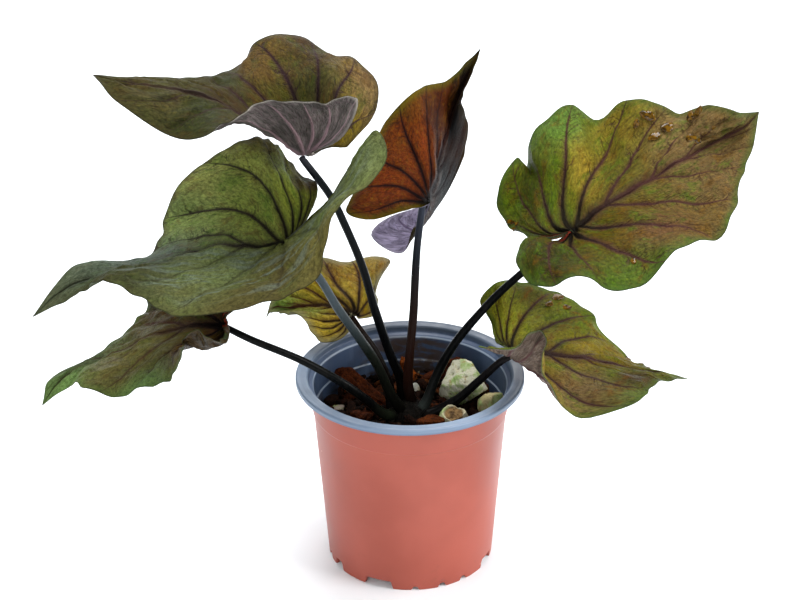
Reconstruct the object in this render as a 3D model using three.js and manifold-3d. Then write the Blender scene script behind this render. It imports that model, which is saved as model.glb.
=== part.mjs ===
// An ebony caladium in its nursery pot: seven leaves on seven stalks that rise from one corm.
// Millimetres, +Z up, X to the right, Y away from the viewer.
// The origin is the middle of the pot's foot, on the surface that the pot stands on.
import * as THREE from "three";
import { ConvexGeometry } from "three/addons/geometries/ConvexGeometry.js";
import { mergeVertices } from "three/addons/utils/BufferGeometryUtils.js";
import Module from "manifold-3d";

const wasm = await Module();
wasm.setup();

// Driving dimensions
const RIM_RADIUS = 60;
const POT_HEIGHT = 106.6;
const FOOT_RADIUS = 44.1;
const FOOT_DEPTH = 5;
const WALL = 1.2;
const PAD_RADIUS = 12;
const MIX_TOP = 79;
const CORM_TOP = 82;
const CORM_RADIUS = 14;
const BLADE_THICKNESS = 1;
const GAP = 0.3;

// Fineness of the round and curved pieces
const POT_SEGMENTS = 48;
const CORM_SEGMENTS = 20;
const STALK_SIDES = 8;
const STALK_STEPS = 16;
const RIBS = 9;
const ROWS_PER_RIB = 3;
const BLADE_COLUMNS = 4;

const PI = Math.PI;
const DEGREE = PI / 180;

// Materials
const finish = (color, roughness) => new THREE.MeshStandardMaterial({ color, roughness, metalness: 0 });
const TERRACOTTA_PLASTIC = finish("#c8644f", 0.42);
const MIX_FINISH = finish("#2c1d16", 0.95);
const CORM_FINISH = finish("#4a3626", 0.8);
const BARK_FINISH = finish("#5d2c18", 0.85);
const STONE_FINISH = finish("#c9cdb0", 0.8);
const STALK_FINISH = finish("#14161a", 0.35);
const BLADE_FINISH = finish("#565a22", 0.45);
const CENTRE_BLADE_FINISH = finish("#7a3d14", 0.45);

const plant = new THREE.Group();
plant.name = "potted_ebony_caladium";

function add(name, geometry, material) {
  const mesh = new THREE.Mesh(geometry, material);
  mesh.name = name;
  plant.add(mesh);
  return mesh;
}

// Solids: a geometry's shared vertices are merged, and its faces are turned to point out.
function solidOf(geometry) {
  const bare = geometry.clone();
  bare.deleteAttribute("normal");
  bare.deleteAttribute("uv");
  const merged = mergeVertices(bare, 1e-4);
  const vertProperties = Float32Array.from(merged.attributes.position.array);
  const triVerts = Uint32Array.from(merged.index.array);
  let solid = new wasm.Manifold(new wasm.Mesh({ numProp: 3, vertProperties, triVerts }));
  if (solid.volume() < 0) {
    solid = new wasm.Manifold(
      new wasm.Mesh({ numProp: 3, vertProperties, triVerts: triVerts.slice().reverse() }),
    );
  }
  return solid;
}

function geometryOf(solid) {
  const { vertProperties, triVerts } = solid.getMesh();
  const geometry = new THREE.BufferGeometry();
  geometry.setAttribute("position", new THREE.BufferAttribute(Float32Array.from(vertProperties), 3));
  geometry.setIndex(new THREE.BufferAttribute(Uint32Array.from(triVerts), 1));
  geometry.computeVertexNormals();
  return geometry;
}

// A solid of revolution about +Z, from a profile of [radius, height] points.
function turned(profile, segments) {
  const points = profile.map(([radius, height]) => new THREE.Vector2(radius, height));
  return solidOf(new THREE.LatheGeometry(points, segments).rotateX(PI / 2));
}

// Evenly spread numbers from 0 to 1 that are the same on every run
function randomFrom(seed) {
  let state = seed * 7919 + 17;
  return () => {
    state = (state * 16807) % 2147483647;
    return state / 2147483647;
  };
}

// The pot: one moulding with a stepped wall, a flat rim, and a base raised on a notched foot.
const FOOT_NOTCHES = [
  // [degrees round from the front, to the right; width; height]
  [-23, 15, 4.6],
  [3, 3, 2],
  [22, 3.5, 2.4],
  [39, 3.5, 2.4],
  [66, 11, 4.6],
  [108, 9, 4.6],
  [152, 12, 4.6],
  [196, 9, 4.6],
  [240, 12, 4.6],
  [284, 4, 3],
  [300, 7, 4.6],
];
const DRAIN_HOLES = 6;
const DRAIN_RING = 28;
const DRAIN_RADIUS = 3.5;

const INNER_WALL = [
  [FOOT_RADIUS - WALL + 0.3, FOOT_DEPTH + WALL],
  [49.4, 87.2],
  [50.1, 88],
  [50.5, 100.6],
  [51.2, 101.8],
];

function makePot() {
  const profile = [
    [0, 0],
    [PAD_RADIUS, 0],
    [PAD_RADIUS, FOOT_DEPTH],
    [FOOT_RADIUS - 2.2, FOOT_DEPTH],
    [FOOT_RADIUS - 2, 0],
    [FOOT_RADIUS, 0],
    [50.8, 86.6],
    [51.4, 87.4],
    [51.9, 100.8],
    [54.2, 102.4],
    [54.6, POT_HEIGHT - 3],
    [RIM_RADIUS, POT_HEIGHT - 3],
    [RIM_RADIUS, POT_HEIGHT - 0.8],
    [RIM_RADIUS - 0.8, POT_HEIGHT],
    [54.6, POT_HEIGHT],
    [53.6, POT_HEIGHT - 0.8],
    [53, 103],
    ...INNER_WALL.slice().reverse(),
    [0, FOOT_DEPTH + WALL],
  ];
  let pot = turned(profile, POT_SEGMENTS);
  for (const [angle, width, height] of FOOT_NOTCHES) {
    const notch = new THREE.BoxGeometry(width, 8, 2 * height);
    notch.translate(0, -FOOT_RADIUS, 0).rotateZ(angle * DEGREE);
    pot = pot.subtract(solidOf(notch));
  }
  for (let i = 0; i < DRAIN_HOLES; i++) {
    const hole = new THREE.CylinderGeometry(DRAIN_RADIUS, DRAIN_RADIUS, 4 * WALL, 12);
    hole.rotateX(PI / 2).translate(DRAIN_RING, 0, FOOT_DEPTH).rotateZ((i * 2 * PI) / DRAIN_HOLES);
    pot = pot.subtract(solidOf(hole));
  }
  return geometryOf(pot);
}

// The growing mix fills the pot to below its rim, and leaves a pit for the corm.
const CORM_PROFILE = [
  [0, 60],
  [7, 61.5],
  [12, 66],
  [CORM_RADIUS, 72],
  [13.6, 78],
  [12.6, CORM_TOP - 0.6],
  [11.8, CORM_TOP],
  [0, CORM_TOP],
];

function makeMix() {
  const pit = CORM_PROFILE.slice(0, 5).map(([radius, height]) => [radius + GAP, height]);
  pit[0] = [0, CORM_PROFILE[0][1] - GAP];
  pit[1][1] -= GAP;
  const profile = [
    [0, FOOT_DEPTH + WALL + GAP],
    [INNER_WALL[0][0] - GAP, FOOT_DEPTH + WALL + GAP],
    [48.4, MIX_TOP],
    [CORM_RADIUS + GAP, MIX_TOP],
    ...pit.reverse(),
  ];
  return geometryOf(turned(profile, POT_SEGMENTS));
}

const makeCorm = () => geometryOf(turned(CORM_PROFILE, CORM_SEGMENTS));

// Bark chips and stones lie on the mix: each is turned and tilted, then set down on it.
const BARK_CHIPS = [
  // [middle x, y; length, width, height; turn; tilt]
  [-26, 19, 33, 9, 7.5, -36, -20],
  [-25, -2, 13, 9, 6, 60, 0],
  [-20, -20, 17, 9, 6, -30, 0],
  [-5, 25, 15, 8, 6, 80, 0],
  [18, 35, 29, 7.5, 7, 0, 28],
  [36, 26.6, 20, 5, 10, -53, 0],
  [11, -18, 15, 8, 10, 5, 0],
  [-34, -8, 10, 7, 5, 100, 0],
  [-1, 43.5, 14, 8, 4, 0, -60],
];
const STONES = [
  // [middle x, y; size x, y, z; turn]
  [28, 14, 27, 18, 20, -28],
  [22.5, -12, 13, 11, 13, 10],
  [43, 2, 12.5, 11, 14.5, 20],
  [3, 24, 4.5, 5, 8, 30],
  [-13, 36, 5, 5, 8.5, -20],
  [-38, 6, 7, 6, 5, 15],
];

// The hull of a block or a ball whose corners are moved in a little, each by its own amount
function roughHull(corners, roughness, random) {
  const points = corners.map(([x, y, z]) => {
    const inset = () => 1 - roughness * random();
    return new THREE.Vector3(x * inset(), y * inset(), z * inset());
  });
  return new ConvexGeometry(points);
}

function blockCorners([length, width, height]) {
  const corners = [];
  for (const x of [-1, -0.35, 0.35, 1]) {
    for (const y of [-1, 1]) {
      for (const z of [-1, 1]) corners.push([(x * length) / 2, (y * width) / 2, (z * height) / 2]);
    }
  }
  return corners;
}

function ballCorners([length, width, height]) {
  const position = new THREE.IcosahedronGeometry(0.5, 1).attributes.position;
  const corners = [];
  for (let i = 0; i < position.count; i += 2) {
    corners.push([position.getX(i) * length, position.getY(i) * width, position.getZ(i) * height]);
  }
  return corners;
}

function setDown(geometry, x, y, turn, tilt) {
  geometry.rotateY(tilt * DEGREE).rotateZ(turn * DEGREE);
  geometry.computeBoundingBox();
  geometry.translate(x, y, MIX_TOP + GAP - geometry.boundingBox.min.z);
  return geometryOf(solidOf(geometry));
}

function addLooseTop() {
  BARK_CHIPS.forEach(([x, y, length, width, height, turn, tilt], i) => {
    const hull = roughHull(blockCorners([length, width, height]), 0.3, randomFrom(i + 1));
    add(`bark_chip_${i + 1}`, setDown(hull, x, y, turn, -tilt), BARK_FINISH);
  });
  STONES.forEach(([x, y, length, width, height, turn], i) => {
    const hull = roughHull(ballCorners([length, width, height]), 0.22, randomFrom(i + 31));
    add(`pumice_stone_${i + 1}`, setDown(hull, x, y, turn, 0), STONE_FINISH);
  });
}

// A flat blade, with its stalk's joint at 0,0 and its tip at 0,1. Ten points give half of its margin,
// from the notch beside the joint, round the basal lobe, to the tip. A rib runs to each of them.
const HALF_MARGIN = new THREE.SplineCurve(
  [
    [0.02, -0.05],
    [0.07, -0.22],
    [0.2, -0.37],
    [0.38, -0.3],
    [0.49, -0.08],
    [0.49, 0.18],
    [0.4, 0.44],
    [0.26, 0.67],
    [0.11, 0.86],
    [0, 1],
  ].map(([across, along]) => new THREE.Vector2(across, along)),
);
const RIBS_AT_JOINT = 4;
const RIB_SPREAD = 1.85;
const RIB_BOW = 0.4;

// A point of the flat blade: side is -1 or 1, rib is 0 to 9, and reach is 0 at the midrib, 1 at the margin.
function flatPoint(side, rib, reach) {
  const start = Math.max(0, (rib - RIBS_AT_JOINT) / (RIBS - RIBS_AT_JOINT)) ** RIB_SPREAD;
  const edge = HALF_MARGIN.getPoint(rib / RIBS);
  const across = edge.x;
  const along = edge.y - start;
  const bow = RIB_BOW * THREE.MathUtils.clamp((rib - 2) / 3, 0, 1) * reach * (1 - reach);
  return [side * (across * reach + along * bow), start + along * reach - across * bow];
}

// The leaves. Each blade is the smooth sheet through points on its midrib, [share of the way to the
// tip, x, y, z], and on its margins, [rib, x, y, z]. Inner points are [side, rib, reach, x, y, z].
// A stalk is given by its points from the corm up, and it ends under the blade's joint, further off by
// foldRoom if the blade folds round its end.
const LEAVES = {
  top_left: {
    joint: [-51, -5, 233],
    midrib: [
      [0.2, -65, -12, 246],
      [0.42, -84, -19, 262],
      [0.6, -102, -27, 275],
      [0.8, -124, -34, 282],
      [1, -150, -31, 286],
    ],
    left: [
      [0, -49, -7, 236],
      [1, -33, -14, 246],
      [2, -25, -21, 269],
      [3, -39, -41, 276],
      [4, -51, -54, 281],
      [5, -69, -56, 282],
      [6, -82, -71, 279],
      [6.5, -88, -66, 274],
      [7, -102, -61, 265],
      [7.5, -117, -53, 266],
      [8, -137, -48, 279],
    ],
    right: [
      [0, -48, 1, 231],
      [1, -31, -8, 238],
      [2, -18, 14, 245],
      [2.5, -15, 21, 258],
      [3, -25, 32, 268],
      [3.5, -38, 40, 269],
      [4, -51, 43, 276],
      [4.5, -65, 40, 280],
      [5, -78, 40, 275],
      [5.5, -84, 44, 264],
      [6, -92, 33, 263],
      [7, -108, 0, 272],
      [8, -134, -18, 279],
    ],
    inner: [
      [1, 3, 0.5, -38, 11, 262],
      [1, 5, 0.5, -62, 11, 264],
      [1, 6, 0.5, -80, 13, 263],
    ],
    stalk: [
      [-4, 8, 0],
      [-5, 9, 98],
      [-10, 9, 112],
      [-18, 7, 140],
      [-24, 4, 166],
      [-33, 0, 193],
      [-39.5, -4, 210],
    ],
  },
  front_left: {
    joint: [-60, -45, 205],
    midrib: [
      [0.15, -74, -43, 201],
      [0.35, -95, -49, 204],
      [0.6, -126, -51, 196],
      [0.8, -153, -52, 190],
      [1, -183, -64, 174],
    ],
    left: [
      [0, -57, -49, 209],
      [1, -36, -39, 229],
      [1.5, -26, -36, 246],
      [2, -16, -41, 261],
      [2.5, -11, -56, 254],
      [3, -22, -75, 247],
      [3.5, -36, -90, 239],
      [4, -40, -104, 222],
      [4.5, -51, -112, 211],
      [5, -68, -114, 207],
      [6, -109, -106, 196],
      [6.6, -128, -95, 202],
      [7, -143, -87, 205],
      [8, -162, -66, 186],
    ],
    right: [
      [0, -56, -40, 205],
      [1, -45, -24, 222],
      [2, -53, 5, 217],
      [3, -64, 19, 225],
      [4, -76, 13, 235],
      [4.5, -89, 16, 230],
      [5, -104, 14, 221],
      [5.5, -116, 8, 212],
      [6, -124, 4, 197],
      [6.6, -125, -11, 190],
      [7, -133, -23, 185],
      [7.5, -150, -34, 189],
      [8, -163, -46, 193],
      [8.5, -175, -55, 183],
    ],
    inner: [
      [1, 4, 0.5, -64, -18, 223],
      [1, 5, 0.5, -73, -12, 218],
      [1, 6, 0.5, -88, -12, 204],
    ],
    stalk: [
      [-4, -3, 0],
      [-10, -6, 97],
      [-17, -12, 118],
      [-27, -22, 141],
      [-36, -30, 160],
      [-45, -37, 181],
      [-54, -42, 195],
    ],
  },
  low_left: {
    joint: [-93, -25, 148],
    midrib: [
      [0.2, -112, -23, 147],
      [0.45, -136, -21, 138],
      [0.7, -160, -21, 126],
      [0.84, -175, -24, 120],
      [1, -188, -33, 107],
    ],
    left: [
      [0, -92, -30, 149],
      [1, -91, -46, 152],
      [2, -96, -63, 160],
      [3, -102, -68, 168],
      [3.6, -110, -66, 163],
      [4.2, -110, -75, 160],
      [5, -116, -75, 146],
      [6, -136, -62, 132],
      [6.6, -149, -53, 123],
      [7, -162, -50, 127],
      [8, -174, -32, 117],
    ],
    right: [
      [0, -94, -27, 154],
      [1, -87, -33, 164],
      [2, -90, -9, 167],
      [3, -105, 3, 167],
      [4, -120, 10, 163],
      [5, -134, 14, 152],
      [6, -140, 18, 133],
      [7, -155, 0, 126],
      [7.5, -167, -11, 120],
      [8, -184, -20, 117],
    ],
    inner: [[-1, 5, 0.5, -115, -46, 146]],
    stalk: [
      [-9.5, -7, 0],
      [-14, -12, 89],
      [-23, -18, 101],
      [-36, -24, 115],
      [-55, -27, 129],
      [-80, -27, 141],
    ],
  },
  back_left: {
    joint: [-31, 28, 127],
    midrib: [
      [0.4, -49, 39, 127],
      [0.75, -64, 41, 124],
      [0.9, -74, 43, 123],
      [1, -77, 38, 120],
    ],
    left: [
      [0, -32, 25, 126],
      [1, -32, 17, 123],
      [2, -41, 12, 119],
      [3, -49, 14, 120],
      [4, -54, 23, 123],
      [5, -58, 31, 125],
      [6, -64, 35, 124],
      [7, -69, 37, 123],
      [8, -74, 40, 123],
    ],
    right: [
      [0, -28.5, 27.5, 127],
      [1, -26, 22, 127],
      [1.5, -19, 25, 128],
      [2, -18, 34, 132],
      [2.5, -16, 48, 137],
      [3, -10, 57, 144],
      [3.5, -20, 69, 142],
      [4, -32, 66, 139],
      [5, -48, 75, 139],
      [6, -61, 68, 136],
      [7, -69, 59, 129],
      [8, -75, 48, 124],
    ],
    inner: [[1, 5, 0.5, -39, 46, 134]],
    stalk: [
      [-9.5, 4, 0],
      [-12, 10, 97],
      [-18, 18, 109],
      [-26, 24, 119],
    ],
  },
  centre: {
    joint: [10, 20, 196],
    midrib: [
      [0.3, 16, 30, 216],
      [0.6, 22, 54, 228],
      [0.8, 27, 67, 239],
      [1, 38, 74, 259],
    ],
    left: [
      [0, 8, 17, 196],
      [1, -4, 8, 196],
      [1.6, -19, 6, 192],
      [2, -30, 7, 194],
      [3, -28, 18, 202],
      [4, -19, 30, 220],
      [4.5, -13, 33, 233],
      [5, -5, 30, 245],
      [6, 8, 36, 253],
      [7, 20, 51, 250],
      [8, 30, 65, 254],
    ],
    right: [
      [0, 8, 25, 187],
      [1, 2, 29, 174],
      [2, -7, 33, 160],
      [2.5, -20, 38, 168],
      [3, -9, 46, 176],
      [3.5, 8, 52, 179],
      [4, 20, 54, 189],
      [5, 29, 59, 205],
      [6, 31, 58, 224],
      [7, 27, 46, 243],
      [8, 33, 65, 249],
    ],
    inner: [
      [-1, 3, 0.5, -7, 16, 209],
      [-1, 5, 0.5, 4, 21, 223],
    ],
    stalk: [
      [1.5, 3.5, 0],
      [-1, 4, 97],
      [0, 6, 115],
      [2, 10, 137],
      [3, 13, 157],
      [4, 17, 171],
      [6, 21, 187],
    ],
    foldRoom: 0.9,
  },
  right: {
    joint: [82, 0, 188],
    midrib: [
      [0.2, 98, 8, 198],
      [0.5, 130, 16, 215],
      [0.8, 161, 34, 224],
      [1, 181, 46, 234],
    ],
    left: [
      [0, 74, 0, 185],
      [1, 62, 13, 179],
      [2, 50, 35, 177],
      [2.6, 46, 41, 188],
      [2.9, 49, 43, 200],
      [3.2, 57, 49, 208],
      [3.6, 61, 54, 196],
      [4, 62, 50, 213],
      [4.5, 71, 50, 228],
      [5, 85, 52, 236],
      [5.5, 98, 58, 225],
      [6, 111, 56, 236],
      [6.6, 128, 48, 239],
      [7, 139, 47, 233],
      [7.6, 154, 36, 242],
      [8, 166, 32, 240],
    ],
    right: [
      [0, 77, -5, 185],
      [1, 61, -14, 192],
      [2, 52, -37, 191],
      [2.5, 57, -44, 182],
      [3, 68, -54, 184],
      [3.5, 81, -59, 192],
      [4, 94, -57, 185],
      [4.6, 113, -53, 184],
      [5, 123, -49, 195],
      [5.5, 138, -38, 200],
      [6, 151, -26, 195],
      [6.6, 163, -9, 204],
      [7, 166, 2, 211],
      [8, 176, 27, 223],
    ],
    inner: [
      [-1, 5, 0.5, 82, 24, 217],
      [-1, 6, 0.6, 102, 40, 211],
      [1, 5, 0.5, 103, -25, 192],
      [1, 6, 0.5, 122, -14, 200],
    ],
    stalk: [
      [6, -2, 0],
      [9, -1, 91],
      [14, 2, 104],
      [23, 4, 121],
      [36, 4, 139],
      [49, 4, 154],
      [69, 2, 174],
    ],
  },
  low_right: {
    joint: [53, -5, 122],
    midrib: [
      [0.2, 70, -7, 122],
      [0.5, 96, -4, 116],
      [0.75, 121, -1, 108],
      [1, 147, 4, 100],
    ],
    left: [
      [0, 50, -6, 125],
      [1, 45, 6, 122],
      [2, 42, 27, 125],
      [2.5, 37, 28, 134],
      [3, 44, 25, 145],
      [4, 59, 42, 139],
      [5, 78, 47, 130],
      [6, 98, 37, 122],
      [6.6, 104, 33, 112],
      [7, 116, 23, 104],
      [8, 133, 3, 105],
    ],
    right: [
      [0, 51, -10, 124],
      [1, 43, -22, 132],
      [2, 35, -38, 143],
      [2.5, 46, -45, 145],
      [3, 55, -46, 149],
      [3.5, 63, -39, 153],
      [4, 67, -47, 151],
      [4.5, 65, -55, 141],
      [5, 70, -58, 130],
      [5.5, 79, -55, 114],
      [5.8, 89, -52, 109],
      [6, 105, -50, 113],
      [7, 123, -29, 114],
      [8, 137, -10, 108],
    ],
    inner: [
      [1, 3, 0.5, 52, -28, 132],
      [1, 5, 0.5, 66, -33, 122],
    ],
    stalk: [
      [9, -7, 0],
      [16, -6, 88],
      [26, -6, 95],
      [36, -6, 105],
      [48, -6, 117],
    ],
  },
};

// Solves a set of linear equations, whose right-hand sides are the columns after the first ones.
function solved(rows, unknowns) {
  for (let k = 0; k < unknowns; k++) {
    let best = k;
    for (let i = k; i < unknowns; i++) {
      if (Math.abs(rows[i][k]) > Math.abs(rows[best][k])) best = i;
    }
    [rows[k], rows[best]] = [rows[best], rows[k]];
    for (let i = 0; i < unknowns; i++) {
      if (i === k) continue;
      const factor = rows[i][k] / rows[k][k];
      for (let j = k; j < rows[k].length; j++) rows[i][j] -= factor * rows[k][j];
    }
  }
  return rows.map((row, k) => row.slice(unknowns).map((value) => value / row[k]));
}

// A thin-plate spline's influence of one flat point on another
function influence([ax, ay], [bx, by]) {
  const squared = (ax - bx) ** 2 + (ay - by) ** 2;
  return squared === 0 ? 0 : squared * Math.log(squared);
}

// The smoothest sheet that carries each flat point to its place in space: a thin-plate spline
function sheetThrough(flat, space) {
  const count = flat.length;
  const rows = flat.map((point, i) => [
    ...flat.map((other) => influence(point, other)),
    1,
    ...point,
    ...space[i],
  ]);
  rows.push([...flat.map(() => 1), 0, 0, 0, 0, 0, 0]);
  rows.push([...flat.map((point) => point[0]), 0, 0, 0, 0, 0, 0]);
  rows.push([...flat.map((point) => point[1]), 0, 0, 0, 0, 0, 0]);
  const weights = solved(rows, count + 3);
  return (point) => {
    const factors = [...flat.map((other) => influence(point, other)), 1, ...point];
    const place = new THREE.Vector3();
    factors.forEach((factor, i) => place.addScaledVector(new THREE.Vector3(...weights[i]), factor));
    return place;
  };
}

function bladeSheet({ joint, midrib, left, right, inner }) {
  const flat = [[0, 0]];
  const space = [joint];
  for (const [share, ...place] of midrib) {
    flat.push([0, share]);
    space.push(place);
  }
  for (const [side, margin] of [[-1, left], [1, right]]) {
    for (const [rib, ...place] of margin) {
      flat.push(flatPoint(side, rib, 1));
      space.push(place);
    }
  }
  for (const [side, rib, reach, ...place] of inner) {
    flat.push(flatPoint(side, rib, reach));
    space.push(place);
  }
  return sheetThrough(flat, space);
}

// A triangle's shortest height, which is close to 0 on a sliver
function shortestHeight([a, b, c]) {
  const doubleArea = b.clone().sub(a).cross(c.clone().sub(a)).length();
  return doubleArea / Math.max(a.distanceTo(b), b.distanceTo(c), c.distanceTo(a));
}

// The blade's mesh before it has thickness: its places, and triangles that face its upper side.
// Each four-sided patch is split across the diagonal that keeps its triangles further from slivers.
function bladeMesh(sheet) {
  const found = new Map();
  const places = [];
  const triangles = [];
  const vertex = (side, rib, reach) => {
    const point = flatPoint(side, rib, reach);
    const key = point.map((value) => Math.round(value * 1e6)).join();
    if (!found.has(key)) {
      found.set(key, places.length);
      places.push(sheet(point));
    }
    return found.get(key);
  };
  const isWhole = ([a, b, c]) => a !== b && b !== c && c !== a;
  const thinnest = (split) =>
    Math.min(...split.map((triangle) => shortestHeight(triangle.map((corner) => places[corner]))));
  for (const side of [-1, 1]) {
    for (let row = 0; row < RIBS * ROWS_PER_RIB; row++) {
      for (let column = 0; column < BLADE_COLUMNS; column++) {
        const corner = (down, out) =>
          vertex(side, (row + down) / ROWS_PER_RIB, (column + out) / BLADE_COLUMNS);
        const [a, b, c, d] = [corner(0, 0), corner(0, 1), corner(1, 1), corner(1, 0)];
        const one = [[a, b, c], [a, c, d]].filter(isWhole);
        const other = [[a, b, d], [b, c, d]].filter(isWhole);
        const split = thinnest(one) < thinnest(other) ? other : one;
        for (const [p, q, r] of split) triangles.push(side > 0 ? [p, q, r] : [p, r, q]);
      }
    }
  }
  return { places, triangles };
}

// Edges that only one triangle has, which are the margin's
function openEdges(triangles) {
  const edges = new Map();
  for (const [a, b, c] of triangles) {
    for (const [from, to] of [[a, b], [b, c], [c, a]]) {
      const back = `${to},${from}`;
      if (edges.has(back)) edges.delete(back);
      else edges.set(`${from},${to}`, [from, to]);
    }
  }
  return [...edges.values()];
}

function makeBlade(sheet) {
  const { places, triangles } = bladeMesh(sheet);
  const count = places.length;
  const surface = new THREE.BufferGeometry().setFromPoints(places);
  surface.setIndex(triangles.flat());
  surface.computeVertexNormals();
  const normal = surface.attributes.normal;
  const vertices = [];
  for (const half of [BLADE_THICKNESS / 2, -BLADE_THICKNESS / 2]) {
    places.forEach((place, i) => {
      vertices.push(place.clone().addScaledVector(new THREE.Vector3().fromBufferAttribute(normal, i), half));
    });
  }
  const index = [];
  for (const [a, b, c] of triangles) index.push(a, b, c, count + c, count + b, count + a);
  for (const [from, to] of openEdges(triangles)) {
    index.push(to, from, count + from, to, count + from, count + to);
  }
  const geometry = new THREE.BufferGeometry().setFromPoints(vertices);
  geometry.setIndex(index);
  return geometryOf(solidOf(geometry));
}

// A stalk tapers from the corm to the joint, and both of its ends are rounded.
const STALK_BASE_RADIUS = 2.8;
const STALK_TOP_RADIUS = 1.65;
const STALK_SWELL = 0.6;
const CAP_STEPS = [0.35, 0.75, 1];

const stalkRadius = (share) =>
  THREE.MathUtils.lerp(STALK_BASE_RADIUS, STALK_TOP_RADIUS, share ** STALK_SWELL);

function taperedTube(curve) {
  const frames = curve.computeFrenetFrames(STALK_STEPS);
  const rings = [];
  const ring = (step, offset, radius) => {
    const centre = curve.getPointAt(step / STALK_STEPS).addScaledVector(frames.tangents[step], offset);
    const corners = [];
    for (let i = 0; i < STALK_SIDES; i++) {
      const angle = (2 * PI * i) / STALK_SIDES;
      corners.push(
        centre
          .clone()
          .addScaledVector(frames.normals[step], radius * Math.cos(angle))
          .addScaledVector(frames.binormals[step], radius * Math.sin(angle)),
      );
    }
    rings.push(corners);
  };
  for (const cap of CAP_STEPS) {
    const radius = stalkRadius(0);
    ring(0, -radius * Math.sqrt(1 - cap ** 2), radius * cap);
  }
  for (let step = 1; step < STALK_STEPS; step++) ring(step, 0, stalkRadius(step / STALK_STEPS));
  for (const cap of CAP_STEPS.toReversed()) {
    const radius = stalkRadius(1);
    ring(STALK_STEPS, radius * Math.sqrt(1 - cap ** 2), radius * cap);
  }
  const index = [];
  for (let i = 0; i + 1 < rings.length; i++) {
    for (let j = 0; j < STALK_SIDES; j++) {
      const next = (j + 1) % STALK_SIDES;
      const a = i * STALK_SIDES + j;
      const b = i * STALK_SIDES + next;
      index.push(a, b, b + STALK_SIDES, a, b + STALK_SIDES, a + STALK_SIDES);
    }
  }
  const last = (rings.length - 1) * STALK_SIDES;
  for (let j = 1; j + 1 < STALK_SIDES; j++) index.push(0, j + 1, j, last, last + j, last + j + 1);
  const geometry = new THREE.BufferGeometry().setFromPoints(rings.flat());
  geometry.setIndex(index);
  return geometry;
}

// The blade's upward direction at its joint, from two short steps over the sheet
function jointNormal(sheet) {
  const step = 0.03;
  const middle = sheet([0, step]);
  const along = sheet([0, 2 * step]).sub(middle);
  const across = sheet([step, step]).sub(sheet([-step, step]));
  return across.cross(along).normalize();
}

const JOINT_INSET = 0.012;

function makeStalk({ stalk, foldRoom = 0 }, sheet) {
  const points = stalk.map((point) => new THREE.Vector3(...point));
  points[0].z = CORM_TOP + GAP + STALK_BASE_RADIUS;
  const drop = BLADE_THICKNESS / 2 + GAP + STALK_TOP_RADIUS + foldRoom;
  points.push(sheet([0, JOINT_INSET]).addScaledVector(jointNormal(sheet), -drop));
  return geometryOf(solidOf(taperedTube(new THREE.CatmullRomCurve3(points))));
}

add("pot", makePot(), TERRACOTTA_PLASTIC);
add("growing_mix", makeMix(), MIX_FINISH);
add("corm", makeCorm(), CORM_FINISH);
addLooseTop();
for (const [place, leaf] of Object.entries(LEAVES)) {
  const sheet = bladeSheet(leaf);
  add(`stalk_${place}`, makeStalk(leaf, sheet), STALK_FINISH);
  add(`blade_${place}`, makeBlade(sheet), place === "centre" ? CENTRE_BLADE_FINISH : BLADE_FINISH);
}

export default plant;
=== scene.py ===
import math
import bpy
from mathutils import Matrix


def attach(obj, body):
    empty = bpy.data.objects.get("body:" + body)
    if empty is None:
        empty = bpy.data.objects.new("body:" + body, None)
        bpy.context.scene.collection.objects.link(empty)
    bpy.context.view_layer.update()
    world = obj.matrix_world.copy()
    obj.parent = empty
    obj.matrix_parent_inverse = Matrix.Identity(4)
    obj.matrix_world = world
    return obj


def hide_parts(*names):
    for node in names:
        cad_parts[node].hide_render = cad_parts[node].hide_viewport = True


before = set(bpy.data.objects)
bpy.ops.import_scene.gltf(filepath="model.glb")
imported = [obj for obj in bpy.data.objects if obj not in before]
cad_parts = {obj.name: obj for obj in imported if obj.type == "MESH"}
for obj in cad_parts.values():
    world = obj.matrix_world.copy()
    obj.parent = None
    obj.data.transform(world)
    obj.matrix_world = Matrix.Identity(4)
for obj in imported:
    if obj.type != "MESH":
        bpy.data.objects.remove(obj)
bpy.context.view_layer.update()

from types import SimpleNamespace

import bmesh
import bpy
import numpy as np
from mathutils import Matrix, Vector

# An ebony caladium in its nursery pot. Lengths are in millimetres here, and MM turns them into metres.
MM = 0.001
BODY = "root"

# Camera, fitted to the ellipses of the pot's rim and foot in the photograph
CAMERA_PLACE = (-5.0, -1006.8, 662.4)
CAMERA_PITCH = 27.0
CAMERA_ROLL = -0.3
CAMERA_LENS = 98.82

# The pot and what is in it
FOOT_RADIUS = 44.1
FOOT_INNER_RADIUS = 41
FOOT_DEPTH = 5
MIX_TOP = 79
CORM_TOP = 82
STALK_BASE_RADIUS = 2.8
STALK_TOP_RADIUS = 1.65
STALK_SWELL = 0.6
STALK_SIDES = 28
STALK_RIBS = 0.018
STALK_STEPS = 90
JOINT_DROP = 2.45

# Leaf blades: the flat leaf's ribs, and how its grid is divided
RIBS = 9
RIBS_AT_JOINT = 4
RIB_SPREAD = 1.85
RIB_BOW = 0.4
MIDRIB_WIDTH = 2.1
ROWS_PER_VEIN = 18
ROWS_AT_VEINS = 0.55
COLUMNS = 50
COLUMN_SPREAD = 0.92

# Thickness and relief of the blades. Waves have a height and a length.
BLADE_THICKNESS = 0.55
EDGE_THICKNESS = 0.3
BLADE_SINK = 0.3
SCALLOPS = (1.1, 13)
MARGIN_WAVES = (1, 14)
BROAD_WAVES = (0.8, 17)
FINE_WAVES = (0.3, 6)
FOLDS = (0.95, 9)
SWELLING = 1.2
SWELLING_REACH = 4.5
VEIN_GROOVE = 0.3
VEIN_RIDGE = 0.75
WAVES_IN_RIPPLE = 9

# Seeds of the random draws. A leaf's own seed is its place in the alphabet.
BARK_SEED = 200
STONE_SEED = 400
CORM_SEED = 600
MIX_SEED = 700
DROP_SEED = 900


# Small tools

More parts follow.
